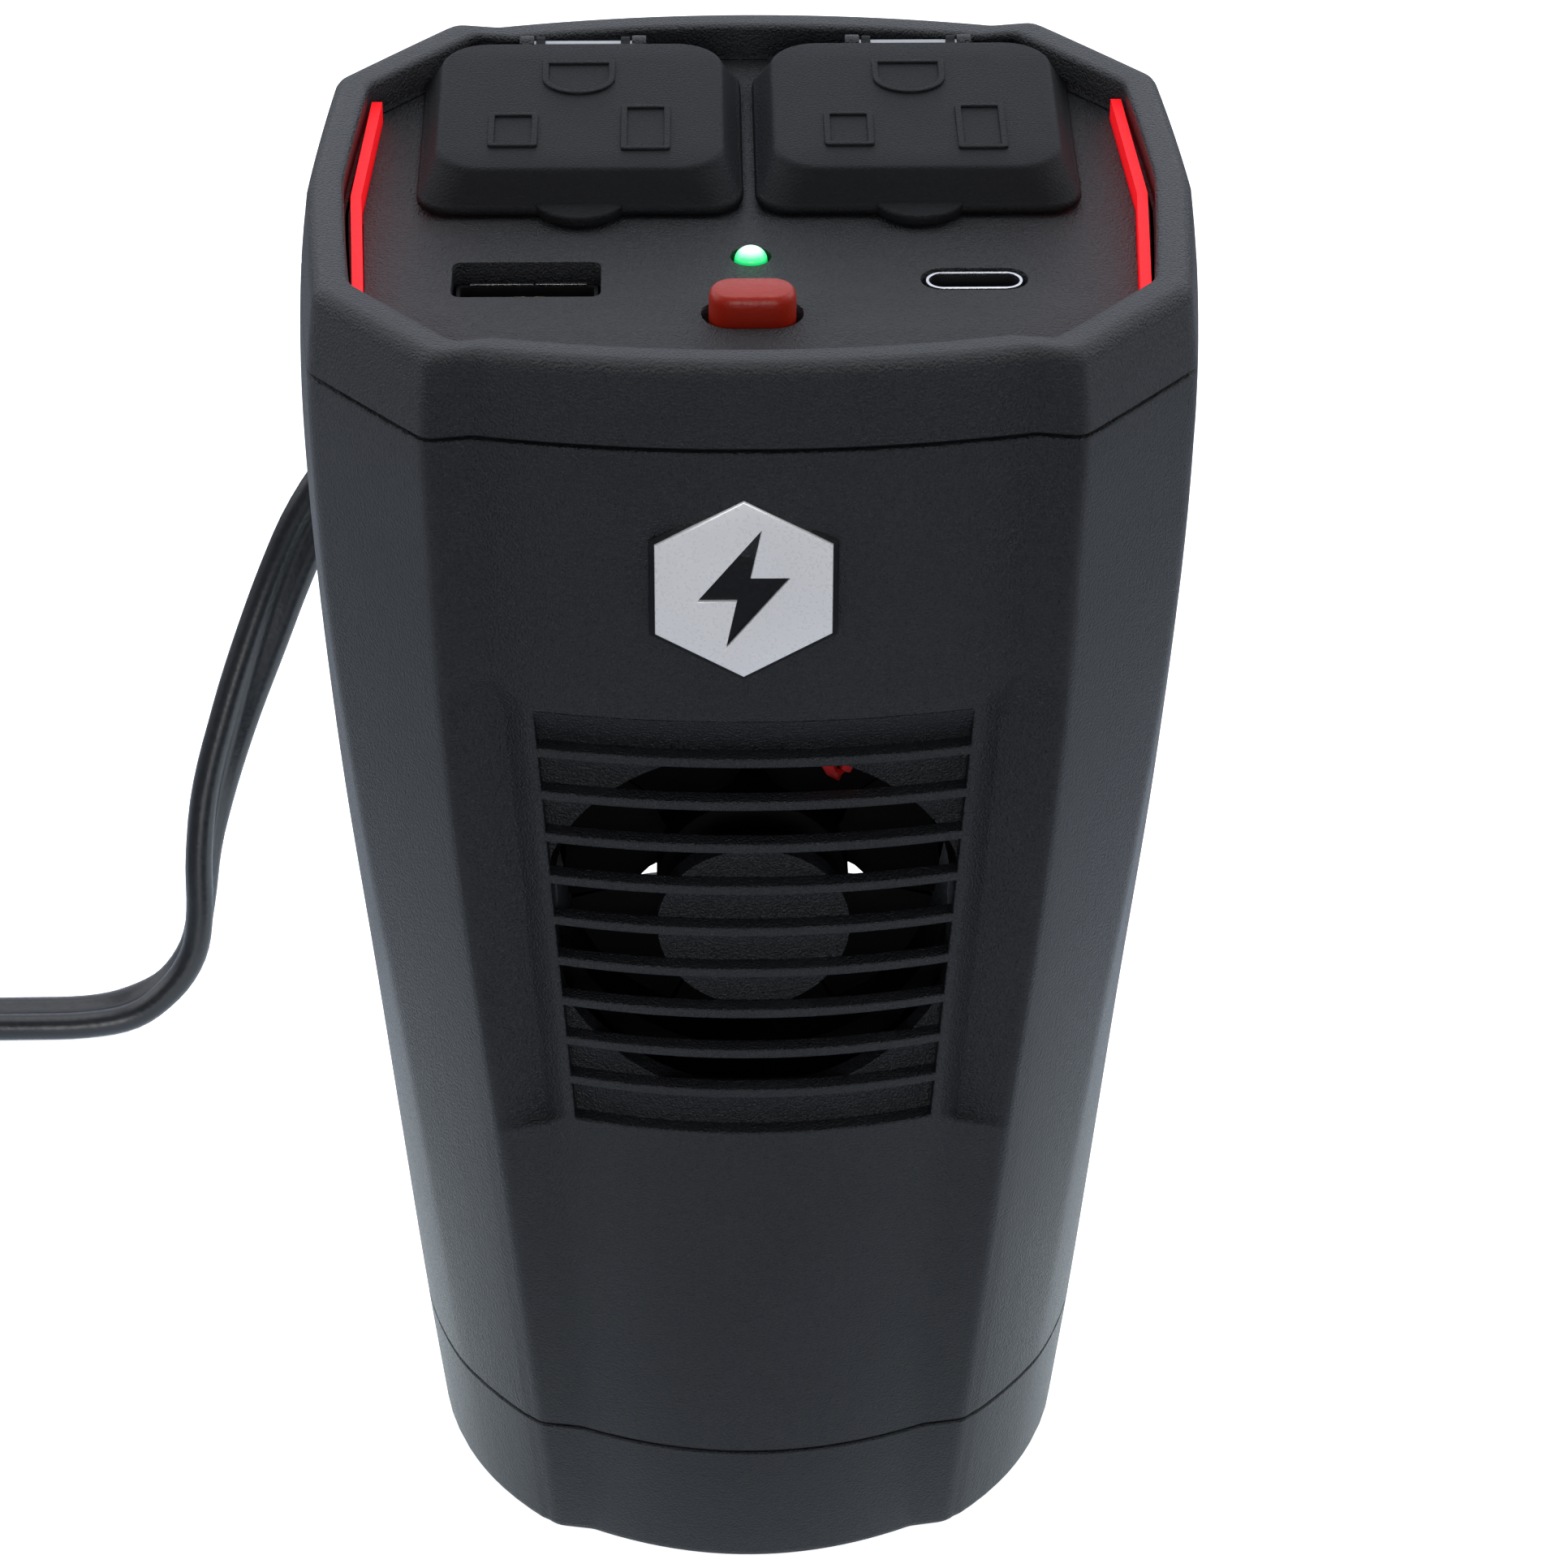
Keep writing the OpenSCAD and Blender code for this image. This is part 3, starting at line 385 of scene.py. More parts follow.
def half_grid(rows, split, folded, thickness, sign):
    """Grids of outer and inner points for half the can; sign is 1 for the front and -1 for the rear."""
    where = quarter(rows[0], split(rows[0]), folded)[1]
    outer, inner = [], []
    for row in rows:
        right_out, right_in = [], []
        for c, (part, t) in enumerate(where):
            z = warped(row, part, t) if folded else row
            p = quarter(z, split(z), folded)[0][c]
            s, m = section(z)[0], section(z)[7]
            depth = fold_depth(z, part, t) if folded else 0
            y_in = -SEAM if c == len(where) - 1 else p.y * (m - thickness) / m
            draw_in = min(max((c - ARC_COLUMNS) / RIDGE_COLUMNS, 0), 1) * thickness / s
            right_out.append((p.x, (p.y + depth) * sign, z))
            right_in.append((p.x * (1 - draw_in), y_in * sign, z))
        for grid, right in ((outer, right_out), (inner, right_in)):
            left = [(-x, y, z) for x, y, z in reversed(right[1:])]
            grid.append(left + right)
    return outer, inner


def whole_outline(z, inset):
    """The closed outline at a height, drawn in by inset."""
    points = quarter(z, grille_half(z), False)[0]
    s, m = section(z)[0], section(z)[7]
    right = points[:-1] + [Vector((s, 0))] + [Vector((p.x, -p.y)) for p in reversed(points[:-1])]
    left = [Vector((-p.x, p.y)) for p in reversed(right[1:-1])]
    return [(p.x * (s - inset) / s, p.y * (m - inset) / m) for p in right + left]


def swept(profile):
    """A solid band round the can: profile lists (inset, height) points."""
    return loft([[(x, y, z) for x, y in whole_outline(z, inset)] for inset, z in profile], loop=True)


def spaced(stops, step):
    """Heights from the first stop to the last, through every stop, at most step apart."""
    rows = [stops[0]]
    for a, b in zip(stops, stops[1:]):
        n = max(1, math.ceil((b - a) / step))
        rows += [a + (b - a) * (k + 1) / n for k in range(n)]
    return rows


# ---- materials ----


def material(name, color, roughness=0.5, metallic=0.0, pebble=0.0, grain=2600.0, mottle=0.12, coat=0.0,
             emission=0.0, specular=0.5, transmission=0.0, alpha=1.0):
    """A procedural finish: mottled colour and roughness, with a fine moulded texture."""
    mat = bpy.data.materials.new(name)
    mat.use_nodes = True
    nodes, links = mat.node_tree.nodes, mat.node_tree.links
    shader = nodes["Principled BSDF"]
    place = nodes.new("ShaderNodeTexCoord").outputs["Object"]
    cloud = nodes.new("ShaderNodeTexNoise")
    cloud.inputs["Scale"].default_value = 90
    cloud.inputs["Detail"].default_value = 4
    links.new(place, cloud.inputs["Vector"])
    tint = nodes.new("ShaderNodeValToRGB")
    tint.color_ramp.elements[0].position = 0.3
    tint.color_ramp.elements[1].position = 0.7
    tint.color_ramp.elements[0].color = [c * (1 - mottle) for c in color] + [1]
    tint.color_ramp.elements[1].color = [min(1, c * (1 + mottle)) for c in color] + [1]
    links.new(cloud.outputs["Fac"], tint.inputs["Fac"])
    links.new(tint.outputs["Color"], shader.inputs["Base Color"])
    speck = nodes.new("ShaderNodeTexNoise")
    speck.inputs["Scale"].default_value = grain
    speck.inputs["Detail"].default_value = 3
    links.new(place, speck.inputs["Vector"])
    rough = nodes.new("ShaderNodeMapRange")
    rough.inputs["From Min"].default_value = 0.3
    rough.inputs["From Max"].default_value = 0.7
    rough.inputs["To Min"].default_value = max(roughness - 0.06, 0.02)
    rough.inputs["To Max"].default_value = min(roughness + 0.06, 1)
    links.new(speck.outputs["Fac"], rough.inputs["Value"])
    links.new(rough.outputs["Result"], shader.inputs["Roughness"])
    if pebble:
        bump = nodes.new("ShaderNodeBump")
        bump.inputs["Strength"].default_value = pebble
        bump.inputs["Distance"].default_value = 0.0004
        links.new(speck.outputs["Fac"], bump.inputs["Height"])
        links.new(bump.outputs["Normal"], shader.inputs["Normal"])
    if emission:
        links.new(tint.outputs["Color"], shader.inputs["Emission Color"])
    shader.inputs["Metallic"].default_value = metallic
    shader.inputs["Coat Weight"].default_value = coat
    shader.inputs["Emission Strength"].default_value = emission
    shader.inputs["Specular IOR Level"].default_value = specular
    shader.inputs["Transmission Weight"].default_value = transmission
    shader.inputs["Alpha"].default_value = alpha
    return mat


def light_lens(name, core):
    """A lit green lens, white hot round the point core."""
    mat = material(name, (0.03, 0.85, 0.2), 0.15, emission=1.0, mottle=0.2)
    nodes, links = mat.node_tree.nodes, mat.node_tree.links
    away = nodes.new("ShaderNodeVectorMath")
    away.operation = "DISTANCE"
    away.inputs[1].default_value = [c * MM for c in core]
    links.new(nodes["Texture Coordinate"].outputs["Object"], away.inputs[0])
    glow = nodes.new("ShaderNodeMapRange")
    glow.inputs["From Min"].default_value = 0.8 * MM
    glow.inputs["From Max"].default_value = 1.7 * MM
    links.new(away.outputs["Value"], glow.inputs["Value"])
    ramp = nodes.new("ShaderNodeValToRGB")
    ramp.color_ramp.elements[0].color = (1.0, 1.0, 1.0, 1)
    ramp.color_ramp.elements[1].color = (0.0, 0.42, 0.1, 1)
    middle = ramp.color_ramp.elements.new(0.6)
    middle.color = (0.12, 0.95, 0.36, 1)
    links.new(glow.outputs["Result"], ramp.inputs["Fac"])
    links.new(ramp.outputs["Color"], nodes["Principled BSDF"].inputs["Emission Color"])
    return mat


HOUSING = material("housing_plastic", (0.0105, 0.0116, 0.0138), 0.4, pebble=1.0, grain=4300, specular=0.5)
COVER = material("cover_rubber", (0.0045, 0.005, 0.006), 0.55, pebble=0.4, grain=4200, specular=0.14)
BLACK = material("black_plastic", (0.005, 0.005, 0.006), 0.4, pebble=0.15, specular=0.3)
FAN = material("fan_plastic", (0.0012, 0.0012, 0.0014), 0.55, pebble=0.1, specular=0.06)
BUTTON = material("button_plastic", (0.34, 0.012, 0.001), 0.42, pebble=0.12, mottle=0.05, specular=0.4)
# Red strip plastic with a painted glow: it gives off light though the strip is no lamp.
RED_STRIP_PAINTED_GLOW = material("red_strip", (1.0, 0.008, 0.014), 0.45, emission=0.5, mottle=0.04, specular=0.15)
GREEN = material("green_lens_hidden", (0.05, 0.9, 0.22), 0.12, emission=1.0, mottle=0.25)
CHROME = material("polished_metal", (0.92, 0.92, 0.92), 0.3, metallic=0.15, mottle=0.03, coat=0.3)
STEEL = material("steel", (0.62, 0.62, 0.64), 0.26, metallic=1.0)
# Steel with painted shade: a near-black copy of the steel, for port walls and floors that sit in shade.
SHADE_PAINTED_STEEL = material("steel_painted_shade", (0.012, 0.012, 0.014), 0.4, specular=0.2)
GOLD = material("gold_contact", (0.9, 0.6, 0.2), 0.25, metallic=1.0)
BOARD = material("circuit_board", (0.003, 0.022, 0.009), 0.4, coat=0.1, mottle=0.3, specular=0.2)
FERRITE = material("ferrite", (0.035, 0.035, 0.038), 0.6, pebble=0.5)
TAPE = material("winding_tape", (0.75, 0.45, 0.05), 0.3, coat=0.3)
SLEEVE = material("capacitor_sleeve", (0.01, 0.014, 0.035), 0.28, coat=0.2)
COPPER = material("copper_wire", (0.75, 0.28, 0.12), 0.25, metallic=0.9, pebble=0.6, grain=1500)
ALUMINIUM = material("black_aluminium", (0.008, 0.008, 0.009), 0.5, pebble=0.2, grain=4000, specular=0.2)
RESIN = material("chip_resin", (0.012, 0.012, 0.013), 0.55, pebble=0.4)
FUSE = material("fuse_plastic", (0.02, 0.03, 0.07), 0.3, coat=0.2)
GLASS = material("fuse_glass", (0.9, 0.95, 0.95), 0.05, transmission=0.9)
RED_WIRE = material("red_wire", (0.3, 0.006, 0.006), 0.35)
BLACK_WIRE = material("black_wire", (0.012, 0.012, 0.012), 0.35)
PIN = material("pin_steel", (0.3, 0.31, 0.33), 0.35, metallic=0.6)
CORD = material("cord_rubber", (0.0095, 0.0107, 0.0135), 0.34, pebble=0.08, grain=1800, mottle=0.2)

CAD_FINISHES = {
    HOUSING: "front_shell rear_shell top_cap base_cap",
    COVER: "cover_left cover_right",
    BLACK: "usb_a_tongue usb_c_tongue outlet_left outlet_right switch_body plug_nose "
           "plug_ring plug_handle coil_tie",
    FAN: "fan_frame fan_rotor",
    BUTTON: "power_button",
    # The accent strips glow with painted light.
    RED_STRIP_PAINTED_GLOW: "accent_strip_left accent_strip_right",
    GREEN: "status_led",
    CHROME: "badge_plate",
    STEEL: "led_leads usb_a_shell usb_c_shell cap_screws case_screws base_screws button_spring fan_shaft "
           "plug_spring plug_tip plug_contact_front plug_contact_back",
    PIN: "hinge_pin_left hinge_pin_right",
    GOLD: "usb_a_contacts outlet_contacts_left outlet_contacts_right",
    BOARD: "usb_board main_board",
    FERRITE: "transformer_core",
    TAPE: "transformer_winding",
    SLEEVE: "high_voltage_capacitor input_capacitors",
    COPPER: "choke",
    ALUMINIUM: "heatsink",
    RESIN: "transistors",
    FUSE: "board_fuse",
    GLASS: "plug_fuse",
    RED_WIRE: "fan_wire_red",
    BLACK_WIRE: "fan_wire_black",
    CORD: "strain_relief lead_tube lead_coil lead_tail plug_boot",
}


def finish_cad_nodes():
    for mat, names in CAD_FINISHES.items():
        for name in names.split():
            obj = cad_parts[name]
            for slot in obj.material_slots:
                slot.link = "OBJECT"
                slot.material = mat


# ---- lead ----

LEAD_HALF = 1.6
BOOT_END = node_box("strain_relief")[1].y
COIL_AT = (-146, 23)
COIL_RADIUS = 38
COIL_TURNS = 2.25
COIL_Z = (2.6, 10.0)

# Route of the lead from the strain relief to the coil: place, then the direction of its width
ROUTE = (
    ((-14, BOOT_END, 84), (1, 0, 0)), ((-14.2, 62.5, 84), (1, 0.1, 0)), ((-16.4, 67.8, 83.5), (1, 0.4, -0.2)),
    ((-20.8, 72, 82.2), (1, 0.6, -0.4)), ((-27.5, 75.2, 79.6), (0.6, 0.2, -0.8)),
    ((-36, 77.5, 75.3), (0.65, 0, -0.75)), ((-43.5, 77.5, 68.5), (0.7, 0, -0.7)),
    ((-48.5, 76.6, 61.5), (0.9, 0.05, -0.45)), ((-52, 75.5, 54), (1, 0.1, -0.4)),
    ((-55, 73.8, 46.5), (1, 0.3, -0.3)), ((-58.2, 71.5, 38), (1, 0.7, -0.3)),
    ((-61, 69, 29.3), (0.8, 1, -0.3)), ((-62.6, 66.8, 21.5), (0.3, 1, -0.2)),
    ((-63.2, 65, 14.8), (0, 1, -0.2)), ((-64.3, 63.6, 9.6), (-0.1, 1, -0.3)),
    ((-67.2, 62.5, 5.4), (-0.2, 1, -0.3)), ((-71.6, 61.7, 2.7), (-0.2, 1, 0)),
    ((-77, 61.1, 1.8), (0, 1, 0)), ((-85, 60.8, 1.8), (0, 1, 0)),
    ((-97, 60.8, 1.8), (0, 1, 0)), ((-110, 61, 1.8), (0, 1, 0)),
    ((-128, 61, 2.1), (0, 1, 0)), ((-146, 61, 2.6), (0, 1, 0)),
)

# Route of the lead from the coil to the plug
TAIL = (
    ((-184, 23, 10), (1, 0, 0)), ((-184.3, 15, 9.2), (1, 0, 0)), ((-184.4, 7, 6.8), (1, 0, 0)),
    ((-184.4, -1, 3.9), (1, 0, 0)), ((-184.2, -8, 2.2), (1, 0, 0)), ((-183.2, -15, 2.3), (1, 0.2, 0)),
    ((-180.6, -21.5, 4.2), (1, 0.4, 0)), ((-176.1, -27.1, 7.4), (1, 0.8, 0)),
    ((-170, -31.5, 11), (0.5, 1, 0)), ((-163, -33, 13), (0, 1, 0)),
)


def eased(p0, p1, p2, p3, u):
    return 0.5 * (2 * p1 + (p2 - p0) * u + (2 * p0 - 5 * p1 + 4 * p2 - p3) * u**2
                  + (3 * p1 - p0 - 3 * p2 + p3) * u**3)


def smooth_route(route, steps):
    """A smooth line through a route's places, with its width direction eased in the same way."""
    places = [Vector(p) for p, _ in route]
    widths = [Vector(w).normalized() for _, w in route]
    line = []
    for i in range(len(route) - 1):
        ends = (max(i - 1, 0), i, i + 1, min(i + 2, len(route) - 1))
        for k in range(steps):
            line.append(tuple(eased(*(v[j] for j in ends), k / steps) for v in (places, widths)))
    return line + [(places[-1], widths[-1])]


def coil_route():
    steps = round(COIL_TURNS * 48)
    line = []
    for k in range(1, steps):
        a = math.radians(90 + 360 * COIL_TURNS * k / steps)
        out = Vector((math.cos(a), math.sin(a), 0))
        z = COIL_Z[0] + (COIL_Z[1] - COIL_Z[0]) * k / steps
        line.append((Vector((COIL_AT[0], COIL_AT[1], z)) + out * COIL_RADIUS, out))
    return line


def twin_section():
    """The section of two conductors moulded side by side, with a groove between them."""
    points = []
    for side, start in ((1, -138), (-1, 42)):
        for k in range(11):
            a = math.radians(start + 276 * k / 10)
            points.append((LEAD_HALF * (side + math.cos(a)), LEAD_HALF * math.sin(a)))
    return points


def make_lead():
    """The lead along its route; each ring's width keeps the sense of the ring before it."""
    line = smooth_route(ROUTE, 4) + coil_route() + smooth_route(TAIL, 4)
    rings = []
    across = line[0][1]
    for i, (place, width) in enumerate(line):
        ahead = (line[min(i + 1, len(line) - 1)][0] - line[max(i - 1, 0)][0]).normalized()
        if width.dot(across) < 0:
            width = -width
        across = (width - ahead * width.dot(ahead)).normalized()
        up = ahead.cross(across)
        rings.append([place + across * u + up * v for u, v in twin_section()])
    lead = piece("lead", [loft(rings)], CORD, smooth=50, replaces=("lead_tube", "lead_coil", "lead_tail"))


# ---- casing ----

SLATS = 9
SLAT_PITCH = 4.85
SLAT_HALF = 0.52
FAN_Z = 81.5
GROOVE = 1.7
GRILLE_BACK = 4.0
FRAME_DEPTH = 7.5
OPENING_R = 20.4
OPENING_Z = 80.8
HUB_R = 9.15
BLADES = 7
BLADE_GAP = -12.9
# Each blade's half angle by radius
BLADE_ROWS = ((9.0, 13), (9.9, 16), (10.8, 20.5), (11.8, 24.8), (13, 25.3), (15.5, 25.3), (18, 24.8))
SLAT_TOP = FAN_Z + SLAT_PITCH * (SLATS - 1) / 2


def patch(heights, x_left, x_right, depth, back=GRILLE_BACK, columns=16):
    """A piece of the bowed front through rows at given heights, depth(z) below the panel."""
    face, rear = [], []
    for z in heights:
        xs = [x_left(z) + (x_right(z) - x_left(z)) * c / columns for c in range(columns + 1)]
        face.append([(x, front_y(x, z) + depth(z), z) for x in xs])
        rear.append([(x, front_y(x, z) + back, z) for x in xs])
    return grid_solid(face, rear)


def circle_heights(r, steps):
    return [FAN_Z - r * math.cos(math.pi * k / steps) for k in range(steps + 1)]


def circle_half(r, z):
    return min(math.sqrt(max(r**2 - (z - OPENING_Z) ** 2, 0.0001)), grille_half(z) + 0.05)


def slat_parts():
    edge = lambda z: grille_half(z) + 0.3
    parts = []
    for i in range(SLATS):
        z = SLAT_TOP - i * SLAT_PITCH
        rows = (z - SLAT_HALF, z + SLAT_HALF)
        parts.append(patch(rows, lambda h: -edge(h), edge, lambda h: 0, GROOVE + 0.05, 20))
    return parts


def groove_parts():
    """The grooves' floor round the fan's opening, the ramp over it, and the disc over the fan's hub."""
    edge = lambda z: grille_half(z) + 0.3
    left, right = (lambda z: -edge(z)), edge
    level = lambda z: GROOVE
    ramp = lambda z: GROOVE * min(1, max(GRILLE_TOP - z, 0) / (GRILLE_TOP - SLAT_TOP - SLAT_HALF)) + 0.02
    circle = circle_heights(OPENING_R, 48)
    hub = circle_heights(HUB_R, 32)
    return [
        patch((GRILLE_BOTTOM - 0.1, circle[0]), left, right, level),
        patch(circle, left, lambda z: -circle_half(OPENING_R, z), level, columns=4),
        patch(circle, lambda z: circle_half(OPENING_R, z), right, level, columns=4),
        patch(spaced((circle[-1], SLAT_TOP + SLAT_HALF, GRILLE_TOP + 0.05), 0.5), left, right, ramp),
        patch(hub, lambda z: -circle_half(HUB_R, z), lambda z: circle_half(HUB_R, z), level, columns=10),
    ]


def grille_collar():
    """The four walls behind the skin that carry the grille's depth."""
    wide = lambda z: grille_half(z) + 1.2
    near = lambda z: grille_half(z) + 0.06
    low, high = GRILLE_BOTTOM - 1.2, GRILLE_TOP + 1.2
    under = lambda z: 1.2
    return [
        patch(spaced((low, high), 3), lambda z: -wide(z), lambda z: -near(z), under, FRAME_DEPTH, 2),
        patch(spaced((low, high), 3), near, wide, under, FRAME_DEPTH, 2),
        patch((low, GRILLE_BOTTOM - 0.06), lambda z: -wide(z), wide, under),
        patch((GRILLE_TOP + 0.06, high), lambda z: -wide(z), wide, under),
    ]


def make_front_shell():
    rows = spaced((BASE_SEAM + SEAM, 53, 56.6, LEDGE_Z - LEDGE, GRILLE_BOTTOM, LEDGE_Z - 0.2, LEDGE_Z,
                   LEDGE_Z + 0.4, 64, 99, FOLD_FULL - CREASE, FOLD_FULL, FOLD_FULL + CREASE, GRILLE_TOP,
                   FOLD_TOP - CREASE, FOLD_TOP, FOLD_TOP + CREASE, 112, CAP_SEAM - SEAM), 3.0)
    outer, inner = half_grid(rows, grille_half, True, WALL, 1)
    middle = (len(outer[0]) - 1) // 2

    def keep(r, c):
        column = min(abs(c - middle), abs(c + 1 - middle))
        in_grille = GRILLE_BOTTOM - 0.01 < rows[r] and rows[r + 1] < GRILLE_TOP + 0.01
        return not (in_grille and column < ARC_COLUMNS)

    skin = grid_solid(outer, inner, keep)
    piece("front_casing", [skin], HOUSING, bevel=0.2, smooth=50, replaces=("front_shell",))
    piece("grille_slats", slat_parts(), HOUSING, bevel=0.16, smooth=50)
    piece("grille_floor", groove_parts() + grille_collar(), HOUSING)


def make_fan_rotor():
    """The fan's cup-shaped hub with wide, bowed blades that leave narrow gaps."""
    low, high = node_box("fan_rotor")
    middle_y = (low.y + high.y) / 2
    hub = lathe([(low.y, 0), (low.y, 8.4), (low.y + 0.25, 9.0), (low.y + 0.8, 9.2), (high.y - 0.1, 9.2),
                 (high.y - 0.1, 8.2), (low.y + 1.2, 8.0), (low.y + 1.2, 0)], (0, 0, FAN_Z), (0, 1, 0))
    blades = []
    for k in range(BLADES):
        face, rear = [], []
        for r, half in BLADE_ROWS:
            row = []
            for j in range(9):
                u = j / 4 - 1
                a = math.radians(BLADE_GAP + 360 / BLADES * (k + 0.5) + half * u)
                row.append((r * math.cos(a), middle_y - 0.5 * (1 - u * u), FAN_Z + r * math.sin(a)))
            face.append(row)
            rear.append([(x, y + 0.7, z) for x, y, z in row])
        blades.append(grid_solid(face, rear))
    piece("fan_blades", [hub] + blades, FAN, body="fan_rotor", smooth=40, replaces=("fan_rotor",))


def make_grille_lip():
    """The dark wall across the opening behind the grille's lowest slats."""
    wide = lambda z: grille_half(z) + 1.2
    lip = patch((GRILLE_BOTTOM + 0.1, FAN_Z - 20.2), lambda z: -wide(z), wide,
                lambda z: GRILLE_BACK + 0.05, FRAME_DEPTH, 8)
    piece("grille_lip", [lip], FAN)


VENT_ROWS = [(26 + 5 * i, 28.8 + 5 * i) for i in range(10)]


def make_rear_shell():
    stops = [BASE_SEAM + SEAM] + [z for pair in VENT_ROWS for z in pair] + [107, CAP_SEAM - SEAM]
    rows = spaced(stops, 4.0)
    outer, inner = half_grid(rows, lambda z: VENT_HALF, False, WALL, -1)
    middle = (len(outer[0]) - 1) // 2

    def keep(r, c):
        column = min(abs(c - middle), abs(c + 1 - middle))
        in_slot = any(a - 0.01 < rows[r] and rows[r + 1] < b + 0.01 for a, b in VENT_ROWS)
        return not (in_slot and column < ARC_COLUMNS)

    piece("rear_casing", [grid_solid(outer, inner, keep)], HOUSING, bevel=0.3, smooth=55,
          replaces=("rear_shell",))


def make_base_cap():
    top = BASE_SEAM - SEAM
    wall = swept([(0.15, top), (0, top - 0.15)] + [(0, z) for z in (12, 8, 4, 0.9)]
                 + [(0.1, 0.45), (0.35, 0.12), (0.8, 0), (3, 0), (3, 2), (2, 2.2), (2, 8), (2, top)])
    low, high = node_box("base_screws")
    at = [(x, y) for x in (low.x + 2.3, high.x - 2.3) for y in (low.y + 2.3, high.y - 2.3)]
    floor = flat_plate([whole_outline(0, 2.5)] + [circle_outline(2.6, x, y) for x, y in at], 0.02, 2, 0.25)
    column = [(1, 2.6), (6, 2.6), (6, 1.4), (top, 1.4), (top, 3.4), (1, 3.4)]
    columns = [lathe(column, (x, y, 0), (0, 0, 1), 32) for x, y in at]
    piece("base_casing", [wall, floor] + columns, HOUSING, smooth=40, replaces=("base_cap",))


# ---- top panel ----

OUTLET_X = 15.95
OUTLET_Y = 14.4
HINGE_Y = 29.3
HINGE_Z = PANEL_Z + 3
BUTTON_AT = (0, (node_box("power_button")[0].y + node_box("power_button")[1].y) / 2)
LED_R = 1.9


def strip_outline(side, grow):
    bend, end, reach = 36.9, 35.8, 19.8 + grow
    points = [(bend + 0.5 + grow, 0), (end + 0.5 + grow, reach), (end - 0.5 - grow, reach),
              (bend - 0.5 - grow, 0), (end - 0.5 - grow, -reach), (end + 0.5 + grow, -reach)]
    return [(side * x, y) for x, y in points]


def make_top_cap():
    low = CAP_SEAM + SEAM
    rim = swept([(2, low), (0.2, low), (0, low + 0.2), (0, 138), (0, 141.6), (0.1, 142.15), (0.35, 142.6),
                 (0.75, 142.9), (1.2, 143), (2.75, 143), (3.1, 142.92), (3.32, 142.7), (3.4, 142.4),
                 (3.4, PANEL_Z + 0.5), (3.5, PANEL_Z + 0.15), (3.8, PANEL_Z - 0.02), (3.8, PANEL_UNDER),
                 (2, PANEL_UNDER)])
    usb_a, usb_c = node_box("usb_a_shell"), node_box("usb_c_shell")
    led = node_box("status_led")
    centre = lambda box: ((box[0].x + box[1].x) / 2, (box[0].y + box[1].y) / 2)
    holes = [
        rounded_rectangle(13.7, 6.7, 0.9, *centre(usb_a)),
        rounded_rectangle(9.9, 4.2, 2.05, *centre(usb_c)),
        rounded_rectangle(9.3, 5.8, 2.88, *BUTTON_AT, steps=10),
        circle_outline(LED_R, *centre(led)),
        strip_outline(-1, 0.08),
        strip_outline(1, 0.08),
    ]
    holes += [rounded_rectangle(25.4, 25.4, 3, side * OUTLET_X, OUTLET_Y) for side in (-1, 1)]
    panel = flat_plate([whole_outline(RIM_TOP, RIM_WIDTH + 0.2)] + holes, PANEL_UNDER, PANEL_Z, 0.08)
    arc = [(HINGE_Y - 1.1 * math.cos(a), HINGE_Z + 1.1 * math.sin(a)) for a in
           (math.pi * k / 12 for k in range(13))]
    lug = [(HINGE_Y - 1.1, PANEL_Z - 0.3)] + arc + [(HINGE_Y + 1.1, PANEL_Z - 0.3)]
    lugs = [prism_x(lug, x - 0.7, x + 0.7) for x in
            (side * OUTLET_X + end * 5.5 for side in (-1, 1) for end in (-1, 1))]
    piece("top_casing", [rim, panel], HOUSING, smooth=40, replaces=("top_cap",))
    piece("hinge_lugs", lugs, HOUSING, bevel=0.12, smooth=50)


COVER_Y = (-1.2, 28.1)
PLATEAU_Y = (0.9, 27.75)
COVER_TOP = PANEL_Z + 4.2
MARK_LINE = 0.6


def cover_ring(w, y0, y1, r, z, cx):
    return [(x, y, z) for x, y in rounded_rectangle(w, y1 - y0, r, cx, (y0 + y1) / 2, 8)]


def raised(outline, hole):
    return flat_plate([outline, hole], COVER_TOP - 0.15, COVER_TOP + 0.25, 0.1)


def raised_frame(w, d, cx, cy):
    """The outline mark of a blade slot."""
    inner = rounded_rectangle(w - 2 * MARK_LINE, d - 2 * MARK_LINE, 0.15, cx, cy, 3)
    return raised(rounded_rectangle(w, d, 0.4, cx, cy, 3), inner)


def raised_arch(cx, cy, r, back):
    """The outline mark of the round earth pin, with its flat side at the back."""
    def arch(radius, flat):
        turns = [math.pi + math.pi * k / 24 for k in range(25)]
        return [(cx + radius * math.cos(a), cy + radius * math.sin(a)) for a in turns] + [
            (cx + radius, flat), (cx - radius, flat)]
    return raised(arch(r, back), arch(r - MARK_LINE, back - MARK_LINE))


